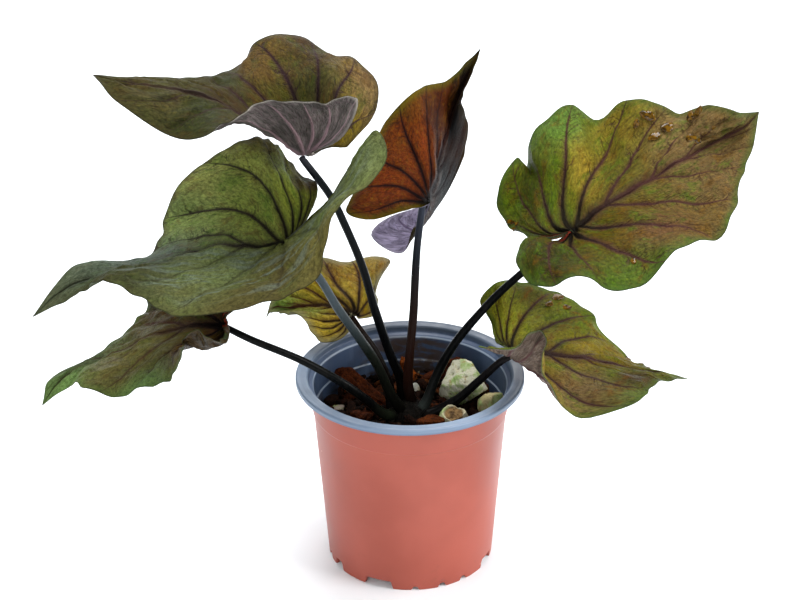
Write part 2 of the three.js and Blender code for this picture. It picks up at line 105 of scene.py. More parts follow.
def linear(text):
    """A colour such as #c8644f as linear red, green, blue and alpha."""
    parts = [int(text[i:i + 2], 16) / 255 for i in (1, 3, 5)]
    return tuple(c / 12.92 if c <= 0.04045 else ((c + 0.055) / 1.055) ** 2.4 for c in parts) + (1.0,)


def smooth_step(low, high, value):
    """0 at low and 1 at high, smoothly, and no less or more beyond them."""
    share = np.clip((value - low) / (high - low), 0, 1)
    return share * share * (3 - 2 * share)


def unit(vectors):
    """The vectors, each one long, or 0 where one was 0."""
    return vectors / np.linalg.norm(vectors, axis=-1, keepdims=True).clip(1e-9)


def between(b, c, v0, v1, f):
    """The place at share f of the cubic from b to c, with the speeds v0 and v1 there."""
    return ((2 * (b - c) + v0 + v1) * f + 3 * (c - b) - 2 * v0 - v1) * f * f + v0 * f + b


def uniform_spline(points, u):
    """A Catmull-Rom curve through points at 0, 1, 2, ... whose end points count twice."""
    points = np.asarray(points, float)
    last = len(points) - 1
    k = np.clip(np.floor(u).astype(int), 0, last)
    a, b, c, d = (points[np.clip(k + i, 0, last)] for i in (-1, 0, 1, 2))
    return between(b, c, (c - a) / 2, (d - b) / 2, (u - k)[..., None])


def centripetal_spline(points, steps):
    """steps + 1 places along the centripetal Catmull-Rom curve through points."""
    points = np.asarray(points, float)
    points = np.vstack([2 * points[0] - points[1], points, 2 * points[-1] - points[-2]])
    gaps = np.linalg.norm(np.diff(points, axis=0), axis=1) ** 0.5
    places = []
    for u in np.linspace(0, len(points) - 3, steps + 1):
        k = min(int(u), len(points) - 4)
        a, b, c, d = points[k:k + 4]
        ab, bc, cd = gaps[k:k + 3]
        v0 = ((b - a) / ab - (c - a) / (ab + bc) + (c - b) / bc) * bc
        v1 = ((c - b) / bc - (d - b) / (bc + cd) + (d - c) / cd) * bc
        places.append(between(b, c, v0, v1, u - k))
    return np.array(places)


def ripple(points, wave_length, seed):
    """A smooth, uneven field over points, from -1 to 1, of waves about wave_length long."""
    random = np.random.default_rng(seed)
    directions = unit(random.normal(size=(WAVES_IN_RIPPLE, points.shape[-1])))
    lengths = wave_length * random.uniform(0.7, 1.5, WAVES_IN_RIPPLE)
    phases = random.uniform(0, 2 * math.pi, WAVES_IN_RIPPLE)
    angles = points @ (directions * (2 * math.pi / lengths)[:, None]).T + phases
    return np.sin(angles).sum(-1) / WAVES_IN_RIPPLE ** 0.5 / 1.4


def waves(points, relief, seed):
    """A ripple with the height and the length of waves that relief holds."""
    height, wave_length = relief
    return height * ripple(points, wave_length, seed)


def circle(count):
    """The angles of count even steps round a circle."""
    return [2 * math.pi * k / count for k in range(count)]


def tube(path, radii, sides, ribs=0.0):
    """A closed tube along path. ribs is the depth of the grooves along it."""
    tangents = unit(np.gradient(path, axis=0))
    side = np.cross(tangents[0], (0.0, 1.0, 0.0))
    vertices = []
    for place, ahead, radius in zip(path, tangents, radii):
        side = unit(side - ahead * (side @ ahead))
        up = np.cross(ahead, side)
        for angle in circle(sides):
            reach = radius * (1 - ribs * math.cos(6 * angle))
            vertices.append(place + reach * (math.cos(angle) * side + math.sin(angle) * up))
    return np.array(vertices), ring_faces(len(path), sides)


def ring_faces(rings, sides):
    """The faces between rings of vertices that follow one another, with a cap at each end."""
    faces = [tuple(range(sides))[::-1], tuple(range((rings - 1) * sides, rings * sides))]
    for i in range(rings - 1):
        for k in range(sides):
            a, b = i * sides + k, i * sides + (k + 1) % sides
            faces.append((a, b, b + sides, a + sides))
    return faces


def spun(columns, angles, bottom, top):
    """A closed shell from a column of radii and heights for each angle, and the heights of its poles."""
    vertices = [(0, 0, bottom), (0, 0, top)]
    for column, angle in zip(columns, angles):
        vertices += [(r * math.cos(angle), r * math.sin(angle), z) for r, z in column]
    faces, rings, count = [], len(columns[0]), len(angles)
    for k in range(count):
        a, b = 2 + k * rings, 2 + (k + 1) % count * rings
        faces += [(0, b, a), (1, a + rings - 1, b + rings - 1)]
        faces += [(a + j, b + j, b + j + 1, a + j + 1) for j in range(rings - 1)]
    return np.array(vertices, float), faces


def lathe(profile, step, segments):
    """profile spun round Z, with points no more than step apart along it."""
    points = []
    for a, b in zip(profile, profile[1:]):
        count = max(1, math.ceil(math.dist(a, b) / step))
        points += [(a[0] + (b[0] - a[0]) * t / count, a[1] + (b[1] - a[1]) * t / count)
                   for t in range(count)]
    return spun([points[1:]] * segments, circle(segments), profile[0][1], profile[-1][1])


def ball(subdivisions):
    """The directions to an even ball's vertices, and its faces."""
    shape = bmesh.new()
    bmesh.ops.create_icosphere(shape, subdivisions=subdivisions, radius=1)
    rays = unit(np.array([v.co[:] for v in shape.verts]))
    faces = [tuple(v.index for v in f.verts) for f in shape.faces]
    shape.free()
    return rays, faces


def joined(shapes):
    """One shape, as vertices and faces, from many."""
    points, faces, count = [], [], 0
    for vertices, sides in shapes:
        points.append(vertices)
        faces += [tuple(count + v for v in face) for face in sides]
        count += len(vertices)
    return np.vstack(points), faces


def add(name, data):
    """An object in the scene that holds data."""
    made = bpy.data.objects.new(name, data)
    bpy.context.scene.collection.objects.link(made)
    return made


def add_mesh(name, shape, materials=(), sides=None):
    """A mesh object from vertices in millimetres and faces. sides numbers each face's material."""
    vertices, faces = shape
    mesh = bpy.data.meshes.new(name)
    mesh.from_pydata((np.asarray(vertices) * MM).tolist(), [], [tuple(f) for f in faces])
    for material in materials:
        mesh.materials.append(material)
    if sides is not None:
        mesh.polygons.foreach_set("material_index", np.asarray(sides, np.int32))
    return add(name, mesh)


def new_piece(name, shape, materials, sides=None, smooth=True):
    """The same, but it rides on the plant, and is shaded smooth."""
    piece = add_mesh(name, shape, materials, sides)
    if smooth:
        piece.data.shade_smooth()
    piece.data.update()
    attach(piece, BODY)
    return piece


def set_floats(piece, name, values):
    """A number for each vertex."""
    layer = piece.data.attributes.new(name, "FLOAT", "POINT")
    layer.data.foreach_set("value", np.ascontiguousarray(values, np.float32))


def set_tint(piece, values):
    """Linear red, green and blue for each vertex, or one colour such as #c8644f for all."""
    layer = piece.data.attributes.new("tint", "FLOAT_COLOR", "POINT")
    full = np.ones((len(piece.data.vertices), 4), np.float32)
    full[:, :3] = linear(values)[:3] if isinstance(values, str) else values
    layer.data.foreach_set("color", full.ravel())


def set_uv(piece, name, places):
    """A UV map from one place for each vertex."""
    corners = np.zeros(len(piece.data.loops), np.int32)
    piece.data.loops.foreach_get("vertex_index", corners)
    layer = piece.data.uv_layers.new(name=name)
    layer.data.foreach_set("uv", np.ascontiguousarray(places[corners], np.float32).ravel())


class Value:
    """A node's output. Arithmetic on it makes another node."""

    def __init__(self, shader, socket):
        self.shader, self.socket = shader, socket

    def __add__(self, other):
        return self.shader.calc("ADD", self, other)

    def __sub__(self, other):
        return self.shader.calc("SUBTRACT", self, other)

    def __rsub__(self, other):
        return self.shader.calc("SUBTRACT", other, self)

    def __mul__(self, other):
        return self.shader.calc("MULTIPLY", self, other)

    def __abs__(self):
        return self.shader.calc("ABSOLUTE", self)


class Shader:
    """A material's nodes. Each call makes one node and returns its output."""

    def __init__(self, name):
        self.material = bpy.data.materials.new(name)
        self.material.use_nodes = True
        self.tree = self.material.node_tree
        self.tree.nodes.clear()

    def node(self, kind, output, inputs, **settings):
        """A new node's output. inputs are values, numbers or colours by name or number."""
        node = self.tree.nodes.new(f"ShaderNode{kind}")
        for key, value in settings.items():
            setattr(node, key, value)
        for key, value in inputs.items():
            if isinstance(value, Value):
                self.tree.links.new(value.socket, node.inputs[key])
            else:
                node.inputs[key].default_value = linear(value) if isinstance(value, str) else value
        return Value(self, node.outputs[output]) if len(node.outputs) else None

    def attribute(self, name, output="Fac"):
        return self.node("Attribute", output, {}, attribute_name=name)

    def tint(self):
        return self.attribute("tint", "Color")

    def uv(self, name):
        return self.node("UVMap", "UV", {}, uv_map=name)

    def place(self):
        return self.node("TexCoord", "Object", {})

    def split(self, place):
        outputs = self.node("SeparateXYZ", 0, {0: place}).socket.node.outputs
        return [Value(self, socket) for socket in outputs]

    def calc(self, operation, *values):
        return self.node("Math", 0, dict(enumerate(values)), operation=operation)

    def spread(self, value, low, high, to_low=0.0, to_high=1.0):
        """Turns low..high into to_low..to_high smoothly, and stays within them."""
        inputs = dict(enumerate((value, low, high, to_low, to_high)))
        return self.node("MapRange", 0, inputs, interpolation_type="SMOOTHSTEP")

    def mix(self, share, a, b, blend="MIX"):
        return self.node("Mix", 2, {0: share, 6: a, 7: b}, data_type="RGBA", blend_type=blend)

    def shade(self, colour, value):
        return self.mix(1.0, colour, value, "MULTIPLY")

    def layers(self, colour, *layers):
        """colour, with each layer's share of that layer's colour mixed over it."""
        for share, other in layers:
            colour = self.mix(share, colour, other)
        return colour

    def texture(self, kind, output, place, scale, inputs, **settings):
        """A texture with one scale, or with one for each axis."""
        if isinstance(scale, tuple):
            place, scale = self.node("Mapping", "Vector", {"Vector": place, "Scale": scale}), 1.0
        return self.node(kind, output, {"Vector": place, "Scale": scale, **inputs}, **settings)

    def noise(self, place, scale, detail, roughness, distortion=0.0):
        inputs = {"Detail": detail, "Roughness": roughness, "Distortion": distortion}
        return self.texture("TexNoise", "Fac", place, scale, inputs)

    def cells(self, place, scale, feature="F1"):
        return self.texture("TexVoronoi", "Distance", place, scale, {}, feature=feature)

    def done(self, colour, roughness, gloss, height, strength, depth, **more):
        """The finished material. height bumps it, with a strength of 0 to 1 and depth in millimetres."""
        inputs = {"Height": height, "Strength": strength, "Distance": depth * MM}
        normal = self.node("Bump", "Normal", inputs)
        inputs = {"Base Color": colour, "Roughness": roughness, "Specular IOR Level": gloss,
                  "Normal": normal, **more}
        surface = self.node("BsdfPrincipled", 0, inputs)
        self.node("OutputMaterial", None, {"Surface": surface})
        return self.material


# Leaves: the points that fix each one, in millimetres

LEAVES = {
    "top_left": {
        "joint": (-51, -5, 233),
        "midrib": [
            (0.2, -65, -12, 246), (0.42, -84, -19, 262), (0.6, -102, -27, 275), (0.8, -124, -34, 282),
            (1, -150, -31, 286),
        ],
        "left": [
            (0, -49, -7, 236), (1, -33, -14, 246), (2, -25, -21, 269), (3, -39, -41, 276),
            (4, -51, -54, 281), (5, -69, -56, 282), (6, -82, -71, 279), (6.5, -88, -66, 274),
            (7, -102, -61, 265), (7.5, -117, -53, 266), (8, -137, -48, 279),
        ],
        "right": [
            (0, -48, 1, 231), (1, -31, -8, 238), (2, -18, 14, 245), (2.5, -15, 21, 258),
            (3, -25, 32, 268), (3.5, -38, 40, 269), (4, -51, 43, 276), (4.5, -65, 40, 280),
            (5, -78, 40, 275), (5.5, -84, 44, 264), (6, -92, 33, 263), (7, -108, 0, 272),
            (8, -134, -18, 279),
        ],
        "inner": [
            (1, 3, 0.5, -38, 11, 262), (1, 5, 0.5, -62, 11, 264), (1, 6, 0.5, -80, 13, 263),
        ],
        "stalk": [
            (-4, 8, 0), (-5, 9, 98), (-10, 9, 112), (-18, 7, 140), (-24, 4, 166), (-33, 0, 193),
            (-39.5, -4, 210),
        ],
    },
    "front_left": {
        "joint": (-60, -45, 205),
        "midrib": [
            (0.15, -74, -43, 201), (0.35, -95, -49, 204), (0.6, -126, -51, 196), (0.8, -153, -52, 190),
            (1, -183, -64, 174),
        ],
        "left": [
            (0, -57, -49, 209), (1, -36, -39, 229), (1.5, -26, -36, 246), (2, -16, -41, 261),
            (2.5, -11, -56, 254), (3, -22, -75, 247), (3.5, -36, -90, 239), (4, -40, -104, 222),
            (4.5, -51, -112, 211), (5, -68, -114, 207), (6, -109, -106, 196), (6.6, -128, -95, 202),
            (7, -143, -87, 205), (8, -162, -66, 186),
        ],
        "right": [
            (0, -56, -40, 205), (1, -45, -24, 222), (2, -53, 5, 217), (3, -64, 19, 225),
            (4, -76, 13, 235), (4.5, -89, 16, 230), (5, -104, 14, 221), (5.5, -116, 8, 212),
            (6, -124, 4, 197), (6.6, -125, -11, 190), (7, -133, -23, 185), (7.5, -150, -34, 189),
            (8, -163, -46, 193), (8.5, -175, -55, 183),
        ],
        "inner": [
            (1, 4, 0.5, -64, -18, 223), (1, 5, 0.5, -73, -12, 218), (1, 6, 0.5, -88, -12, 204),
        ],
        "stalk": [
            (-4, -3, 0), (-10, -6, 97), (-17, -12, 118), (-27, -22, 141), (-36, -30, 160),
            (-45, -37, 181), (-54, -42, 195),
        ],
    },
    "low_left": {
        "joint": (-93, -25, 148),
        "midrib": [
            (0.2, -112, -23, 147), (0.45, -136, -21, 138), (0.7, -160, -21, 126), (0.84, -175, -24, 120),
            (1, -188, -33, 107),
        ],
        "left": [
            (0, -92, -30, 149), (1, -91, -46, 152), (2, -96, -63, 160), (3, -102, -68, 168),
            (3.6, -110, -66, 163), (4.2, -110, -75, 160), (5, -116, -75, 146), (6, -136, -62, 132),
            (6.6, -149, -53, 123), (7, -162, -50, 127), (8, -174, -32, 117),
        ],
        "right": [
            (0, -94, -27, 154), (1, -87, -33, 164), (2, -90, -9, 167), (3, -105, 3, 167),
            (4, -120, 10, 163), (5, -134, 14, 152), (6, -140, 18, 133), (7, -155, 0, 126),
            (7.5, -167, -11, 120), (8, -184, -20, 117),
        ],
        "inner": [
            (-1, 5, 0.5, -115, -46, 146),
        ],
        "stalk": [
            (-9.5, -7, 0), (-14, -12, 89), (-23, -18, 101), (-36, -24, 115), (-55, -27, 129),
            (-80, -27, 141),
        ],
    },
    "back_left": {
        "joint": (-31, 28, 127),
        "midrib": [
            (0.4, -49, 39, 127), (0.75, -64, 41, 124), (0.9, -74, 43, 123), (1, -77, 38, 120),
        ],
        "left": [
            (0, -32, 25, 126), (1, -32, 17, 123), (2, -41, 12, 119), (3, -49, 14, 120),
            (4, -54, 23, 123), (5, -58, 31, 125), (6, -64, 35, 124), (7, -69, 37, 123),
            (8, -74, 40, 123),
        ],
        "right": [
            (0, -28.5, 27.5, 127), (1, -26, 22, 127), (1.5, -19, 25, 128), (2, -18, 34, 132),
            (2.5, -16, 48, 137), (3, -10, 57, 144), (3.5, -20, 69, 142), (4, -32, 66, 139),
            (5, -48, 75, 139), (6, -61, 68, 136), (7, -69, 59, 129), (8, -75, 48, 124),
        ],
        "inner": [
            (1, 5, 0.5, -39, 46, 134),
        ],
        "stalk": [
            (-9.5, 4, 0), (-12, 10, 97), (-18, 18, 109), (-26, 24, 119),
        ],
    },
    "centre": {
        "joint": (10, 20, 196),
        "midrib": [
            (0.3, 16, 30, 216), (0.6, 22, 54, 228), (0.8, 27, 67, 239), (1, 38, 74, 259),
        ],
        "left": [
            (0, 8, 17, 196), (1, -4, 8, 196), (1.6, -19, 6, 192), (2, -30, 7, 194), (3, -28, 18, 202),
            (4, -19, 30, 220), (4.5, -13, 33, 233), (5, -5, 30, 245), (6, 8, 36, 253), (7, 20, 51, 250),
            (8, 30, 65, 254),
        ],
        "right": [
            (0, 8, 25, 187), (1, 2, 29, 174), (2, -7, 33, 160), (2.5, -20, 38, 168), (3, -9, 46, 176),
            (3.5, 8, 52, 179), (4, 20, 54, 189), (5, 29, 59, 205), (6, 31, 58, 224), (7, 27, 46, 243),
            (8, 33, 65, 249),
        ],
        "inner": [
            (-1, 3, 0.5, -7, 16, 209), (-1, 5, 0.5, 4, 21, 223),
        ],
        "stalk": [
            (1.5, 3.5, 0), (-1, 4, 97), (0, 6, 115), (2, 10, 137), (3, 13, 157), (4, 17, 171),
            (6, 21, 187),
        ],
        "fold_room": 0.9,
    },
    "right": {
        "joint": (82, 0, 188),
        "midrib": [
            (0.2, 98, 8, 198), (0.5, 130, 16, 215), (0.8, 161, 34, 224), (1, 181, 46, 234),
        ],
        "left": [
            (0, 74, 0, 185), (1, 62, 13, 179), (2, 50, 35, 177), (2.6, 46, 41, 188), (2.9, 49, 43, 200),
            (3.2, 57, 49, 208), (3.6, 61, 54, 196), (4, 62, 50, 213), (4.5, 71, 50, 228),
            (5, 85, 52, 236), (5.5, 98, 58, 225), (6, 111, 56, 236), (6.6, 128, 48, 239),
            (7, 139, 47, 233), (7.6, 154, 36, 242), (8, 166, 32, 240),
        ],
        "right": [
            (0, 77, -5, 185), (1, 61, -14, 192), (2, 52, -37, 191), (2.5, 57, -44, 182),
            (3, 68, -54, 184), (3.5, 81, -59, 192), (4, 94, -57, 185), (4.6, 113, -53, 184),
            (5, 123, -49, 195), (5.5, 138, -38, 200), (6, 151, -26, 195), (6.6, 163, -9, 204),
            (7, 166, 2, 211), (8, 176, 27, 223),
        ],
        "inner": [
            (-1, 5, 0.5, 82, 24, 217), (-1, 6, 0.6, 102, 40, 211), (1, 5, 0.5, 103, -25, 192),
            (1, 6, 0.5, 122, -14, 200),
        ],
        "stalk": [
            (6, -2, 0), (9, -1, 91), (14, 2, 104), (23, 4, 121), (36, 4, 139), (49, 4, 154),
            (69, 2, 174),
        ],
    },
    "low_right": {
        "joint": (53, -5, 122),
        "midrib": [
            (0.2, 70, -7, 122), (0.5, 96, -4, 116), (0.75, 121, -1, 108), (1, 147, 4, 100),
        ],
        "left": [
            (0, 50, -6, 125), (1, 45, 6, 122), (2, 42, 27, 125), (2.5, 37, 28, 134), (3, 44, 25, 145),
            (4, 59, 42, 139), (5, 78, 47, 130), (6, 98, 37, 122), (6.6, 104, 33, 112), (7, 116, 23, 104),
            (8, 133, 3, 105),
        ],
        "right": [
            (0, 51, -10, 124), (1, 43, -22, 132), (2, 35, -38, 143), (2.5, 46, -45, 145),
            (3, 55, -46, 149), (3.5, 63, -39, 153), (4, 67, -47, 151), (4.5, 65, -55, 141),
            (5, 70, -58, 130), (5.5, 79, -55, 114), (5.8, 89, -52, 109), (6, 105, -50, 113),
            (7, 123, -29, 114), (8, 137, -10, 108),
        ],
        "inner": [
            (1, 3, 0.5, 52, -28, 132), (1, 5, 0.5, 66, -33, 122),
        ],
        "stalk": [
            (9, -7, 0), (16, -6, 88), (26, -6, 95), (36, -6, 105), (48, -6, 117),
        ],
    },
}

# Leaf blades: each is the smooth sheet through its points that carries one shared flat leaf

HALF_MARGIN = [
    (0.02, -0.05), (0.07, -0.22), (0.2, -0.37), (0.38, -0.3), (0.49, -0.08), (0.49, 0.18),
    (0.4, 0.44), (0.26, 0.67), (0.11, 0.86), (0, 1),
]
VEINS = [
    # the rib where it meets the margin, its foot's share of the midrib, its sag, the half width of its
    # foot in millimetres, and how much of its way it takes before it fades
    (0, 0, 0, 0, 0.1), (2.1, 0, 0.1, 0.45, 0.8), (3.1, 0, 0.38, 0.6, 0.9), (3.95, 0, 0.45, 0.75, 0.95),
    (5, 0.004, 0.4, 1.15, 0.95), (6.1, 0.03, 0.18, 1.1, 0.95), (6.8, 0.21, 0.15, 0.75, 0.9),
    (7.5, 0.42, 0.12, 0.36, 0.7), (8.05, 0.6, 0.1, 0.26, 0.6), (8.55, 0.79, 0.06, 0.18, 0.5),
    (9, 1, 0, 0, 0.1),
]
FRILL = {
    # how much each leaf's margin is scalloped and waved
    "top_left": 0.25, "front_left": 0.5, "low_left": 0.6, "back_left": 0.6, "centre": 0.1, "right": 0.7,
    "low_right": 0.35,
}
FLARE = {
    # how red the margin is beside the joint, on the leaves where that shows
    "right": 0.85, "low_left": 0.85,
}


def bent_line(side, rib, start, bow, reach):
    """A point on the sagging line from a share of the midrib to a rib's end on the margin."""
    edge = uniform_spline(HALF_MARGIN, rib)
    across, along = edge[..., 0], edge[..., 1] - start
    sag = bow * reach * (1 - reach)
    return np.stack([side * (across * reach + along * sag), start + along * reach - across * sag], -1)


def flat_point(side, rib, reach):
    """A point of the flat leaf: its joint is at 0,0 and its tip at 0,1."""
    rib, reach = np.broadcast_arrays(np.asarray(rib, float), np.asarray(reach, float))
    start = np.maximum(0, (rib - RIBS_AT_JOINT) / (RIBS - RIBS_AT_JOINT)) ** RIB_SPREAD
    return bent_line(side, rib, start, RIB_BOW * np.clip((rib - 2) / 3, 0, 1), reach)


def fan_point(side, row, reach):
    """The same leaf, but a whole row runs along each vein."""
    rib, start, bow = (np.interp(row, range(len(VEINS)), column) for column in list(zip(*VEINS))[:3])
    return bent_line(side, rib, start, bow, reach)


def influence(points, others):
    """How much each of the others weighs at each point of a thin-plate spline."""
    squared = ((points[:, None] - others[None]) ** 2).sum(-1)
    return np.where(squared == 0, 0, squared * np.log(np.where(squared == 0, 1, squared)))


def fixed_points(leaf):
    """The flat leaf's points whose places in space are given, and those places."""
    pairs = [((0, 0), leaf["joint"])]
    pairs += [((0, share), place) for share, *place in leaf["midrib"]]
    for side, margin in ((-1, "left"), (1, "right")):
        pairs += [(flat_point(side, rib, 1), place) for rib, *place in leaf[margin]]
    pairs += [(flat_point(side, rib, reach), place) for side, rib, reach, *place in leaf["inner"]]
    return (np.array(column, float) for column in zip(*pairs))


def sheet_through(leaf):
    """The smoothest sheet from the flat leaf to the leaf's points in space: a thin-plate spline."""
    flat, space = fixed_points(leaf)
    count = len(flat)
    rows = np.zeros((count + 3, count + 3))
    rows[:count, :count] = influence(flat, flat)
    rows[:count, count] = rows[count, :count] = 1
    rows[:count, count + 1:] = flat
    rows[count + 1:, :count] = flat.T
    weights = np.linalg.solve(rows, np.vstack([space, np.zeros((3, 3))]))

    def sheet(points):
        points = np.atleast_2d(points)
        return influence(points, flat) @ weights[:count] + weights[count] + points @ weights[count + 1:]

    return sheet


def blade_grid():
    """The flat leaf: its vertices with their side, row and reach, its faces, and its margin's edges."""
    steps = np.arange((len(VEINS) - 1) * ROWS_PER_VEIN + 1) / ROWS_PER_VEIN
    rows = steps - ROWS_AT_VEINS * np.sin(2 * math.pi * (steps % 1)) / (2 * math.pi)
    reaches = (np.arange(COLUMNS + 1) / COLUMNS) ** COLUMN_SPREAD
    found, table, faces = {}, [], []

    def vertex(side, row, column):
        flat = fan_point(side, rows[row], reaches[column])
        key = (round(float(flat[0]), 6), round(float(flat[1]), 6))
        if key not in found:
            found[key] = len(table)
            table.append((flat[0], flat[1], side, rows[row], reaches[column]))
        return found[key]

    for side in (-1, 1):
        grid = [[vertex(side, i, j) for j in range(COLUMNS + 1)] for i in range(len(rows))]
        for i in range(len(rows) - 1):
            for j in range(COLUMNS):
                face = [grid[i][j], grid[i][j + 1], grid[i + 1][j + 1], grid[i + 1][j]]
                face = [v for k, v in enumerate(face) if v != face[k - 1]]
                if len(face) > 2:
                    faces.append(face if side > 0 else face[::-1])
    x, y, side, row, reach = np.array(table).T
    return SimpleNamespace(flat=np.stack([x, y], -1), side=side, row=row, reach=reach, faces=faces,
                           edges=open_edges(faces))


def open_edges(faces):
    """The edges that only one face has."""
    edges = {}
    for face in faces:
        for a, b in zip(face, face[1:] + face[:1]):
            if edges.pop((b, a), None) is None:
                edges[(a, b)] = True
    return list(edges)


def vertex_normals(places, faces):
    """Which way each vertex looks: the mean over its faces, each as much as it is large."""
    normals = np.zeros_like(places)
    for size in (3, 4):
        corners = np.array([f for f in faces if len(f) == size])
        across = places[corners[:, 2]] - places[corners[:, 0]]
        along = places[corners[:, -1]] - places[corners[:, 1]]
        facing = np.cross(across, along)
        for k in range(size):
            np.add.at(normals, corners[:, k], facing)
    return unit(normals)


def edge_gaps(places, edges):
    """Millimetres from each vertex to the leaf's margin."""
    outline = places[sorted({a for a, _ in edges})]
    chunks = np.array_split(places, len(places) // 2000 + 1)
    return np.concatenate([
        np.sqrt(((chunk[:, None] - outline[None]) ** 2).sum(-1).min(1)) for chunk in chunks
    ])


def vein_map(grid, length):
    """For each vertex: millimetres to the nearest vein, and that vein's half width there."""
    x, y = grid.flat.T
    gap = np.where(y > 0, np.abs(x), np.hypot(x, y)) * length
    width = 0.05 + MIDRIB_WIDTH * (1 - y.clip(0, 1)) ** 0.85
    near = np.clip(np.round(grid.row), 1, len(VEINS) - 2)
    here = fan_point(grid.side, near, grid.reach)
    ahead = unit(fan_point(grid.side, near, grid.reach + 0.01) - here)
    off = grid.flat - here
    side_gap = np.abs(off[:, 0] * ahead[:, 1] - off[:, 1] * ahead[:, 0]) * length
    feet, ways = (np.array(column)[near.astype(int)] for column in list(zip(*VEINS))[3:])
    side_width = 0.06 + feet * (1 - grid.reach / ways).clip(0) ** 0.7
    nearer = side_gap / side_width < gap / width
    return np.where(nearer, side_gap, gap), np.where(nearer, side_width, width)


def zone_colours(flat, zones):
    """Colours that pass smoothly from each zone's middle to the next."""
    middles = np.array([flat_point(side, rib, reach) for side, rib, reach, _ in zones])
    colours = np.array([linear(PALETTE[name])[:3] for *_, name in zones])
    squared = ((flat[:, None] - middles[None]) ** 2).sum(-1)
    weights = 1 / (squared + 0.003) ** 1.6
    return weights @ colours / weights.sum(1, keepdims=True)


def blade_fields(place, grid, sheet):
    """What the relief and the colours go by, for each vertex. Lengths are in millimetres."""
    midrib = sheet([(0, share) for share in np.linspace(0, 1, 30)])
    length = np.linalg.norm(np.diff(midrib, axis=0), axis=1).sum()
    middle, spot = sheet(grid.flat), grid.flat * length
    gap, width = vein_map(grid, length)
    half_side, start, faint, *_ = QUIET.get(place, LIVELY)
    quiet = faint * np.maximum(smooth_step(0, 9, half_side * spot[:, 0]),
                               smooth_step(start, start + 0.2, grid.flat[:, 1]))
    return SimpleNamespace(
        seed=sorted(LEAVES).index(place), length=length, middle=middle, spot=spot, gap=gap, width=width,
        quiet=quiet, margin=edge_gaps(middle, grid.edges), from_joint=np.linalg.norm(spot, axis=1),
        grain=np.stack([grid.side * grid.row * 0.95, grid.reach * 1.4 + 3 * grid.side], -1),
    )


def blade_faces(place, grid, sheet, at):
    """The vertices of the upper and of the lower face, and which way they look. at is blade_fields'."""
    # The margin is a little scalloped, and waves up and down
    up = grid.flat[:, 1]
    outward = unit(sheet(fan_point(grid.side, grid.row, grid.reach + 0.01)) - at.middle)
    end = fan_point(grid.side, grid.row, np.ones(len(up))) * at.length
    narrow, wide = (1 - smooth_step(0, reach_in, at.margin) for reach_in in (5, 14))
    frill = FRILL[place] * smooth_step(1.0, 0.8, up)
    middle = at.middle + outward * (frill * narrow * waves(end, SCALLOPS, at.seed + 20))[:, None]
    normals = vertex_normals(middle, grid.faces)
    lift = (0.4 + 1.2 * frill) * wide * smooth_step(1.0, 0.85, up) * waves(end, MARGIN_WAVES, at.seed + 30)

    # Both faces swell between the veins and ripple a little. A vein is a groove above and a ridge below.
    inland = smooth_step(0, 7, at.margin)
    wavy = 1 - (1 - QUIET.get(place, LIVELY)[-1]) * at.quiet
    relief = waves(at.grain * (10, 16), FOLDS, at.seed + 40) * smooth_step(14, 45, at.from_joint)
    relief += SWELLING * (1 - np.exp(-(at.gap / SWELLING_REACH) ** 2))
    relief += waves(at.spot, BROAD_WAVES, at.seed) + waves(at.spot, FINE_WAVES, at.seed + 50)
    lift += relief * inland * wavy * (0.45 + 0.75 * FRILL[place])
    centre = middle + normals * (lift - BLADE_SINK)[:, None]
    profile = np.exp(-(at.gap / (1.2 * at.width)) ** 2) * np.clip(at.width - 0.06, 0, 1.3)
    half = np.interp(at.margin, (0, 5), (EDGE_THICKNESS / 2, BLADE_THICKNESS / 2))
    top = centre + normals * (half - VEIN_GROOVE * profile)[:, None]
    bottom = centre - normals * (half + VEIN_RIDGE * profile * inland)[:, None]
    return top, bottom, normals


def make_blade(place, leaf, grid):
    """One leaf's blade, and its drops of water. The sheet that it follows is returned for the stalk."""
    sheet = sheet_through(leaf)
    at = blade_fields(place, grid, sheet)
    top, bottom, normals = blade_faces(place, grid, sheet, at)
    count = len(top)
    lower = [[count + v for v in reversed(face)] for face in grid.faces]
    hem = [[b, a, count + a, count + b] for a, b in grid.edges]
    sides = [0] * len(lower) + [1] * len(lower) + [0] * len(hem)
    shape = np.vstack([top, bottom]), grid.faces + lower + hem
    piece = new_piece(f"leaf_{place}", shape, leaf_materials(place), sides)
    flare = np.exp(-(at.margin / 1.3) ** 2) * (1 - smooth_step(12, 20, at.from_joint)) * (grid.row < 1.6)
    for name, values in (("vein", np.clip(at.gap / at.width, 0, 8)), ("margin", at.margin),
                         ("from_joint", at.from_joint), ("quiet", at.quiet),
                         ("flare", flare * FLARE.get(place, 0))):
        set_floats(piece, name, np.tile(values, 2))
    for name, places in (("flat", at.spot / 10 + 3 * at.seed), ("grain", at.grain + 5 * at.seed),
                         ("cell", np.stack([grid.row, grid.reach], -1))):
        set_uv(piece, name, np.tile(places, (2, 1)))
    set_tint(piece, np.tile(zone_colours(grid.flat, ZONES[place]), (2, 1)))
    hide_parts(f"blade_{place}")
    if place in DROPS:
        make_drops(place, grid.flat, top, normals)
    return sheet


# Leaf colours: each leaf has a few zones (side, rib, reach, colour) that run into one another

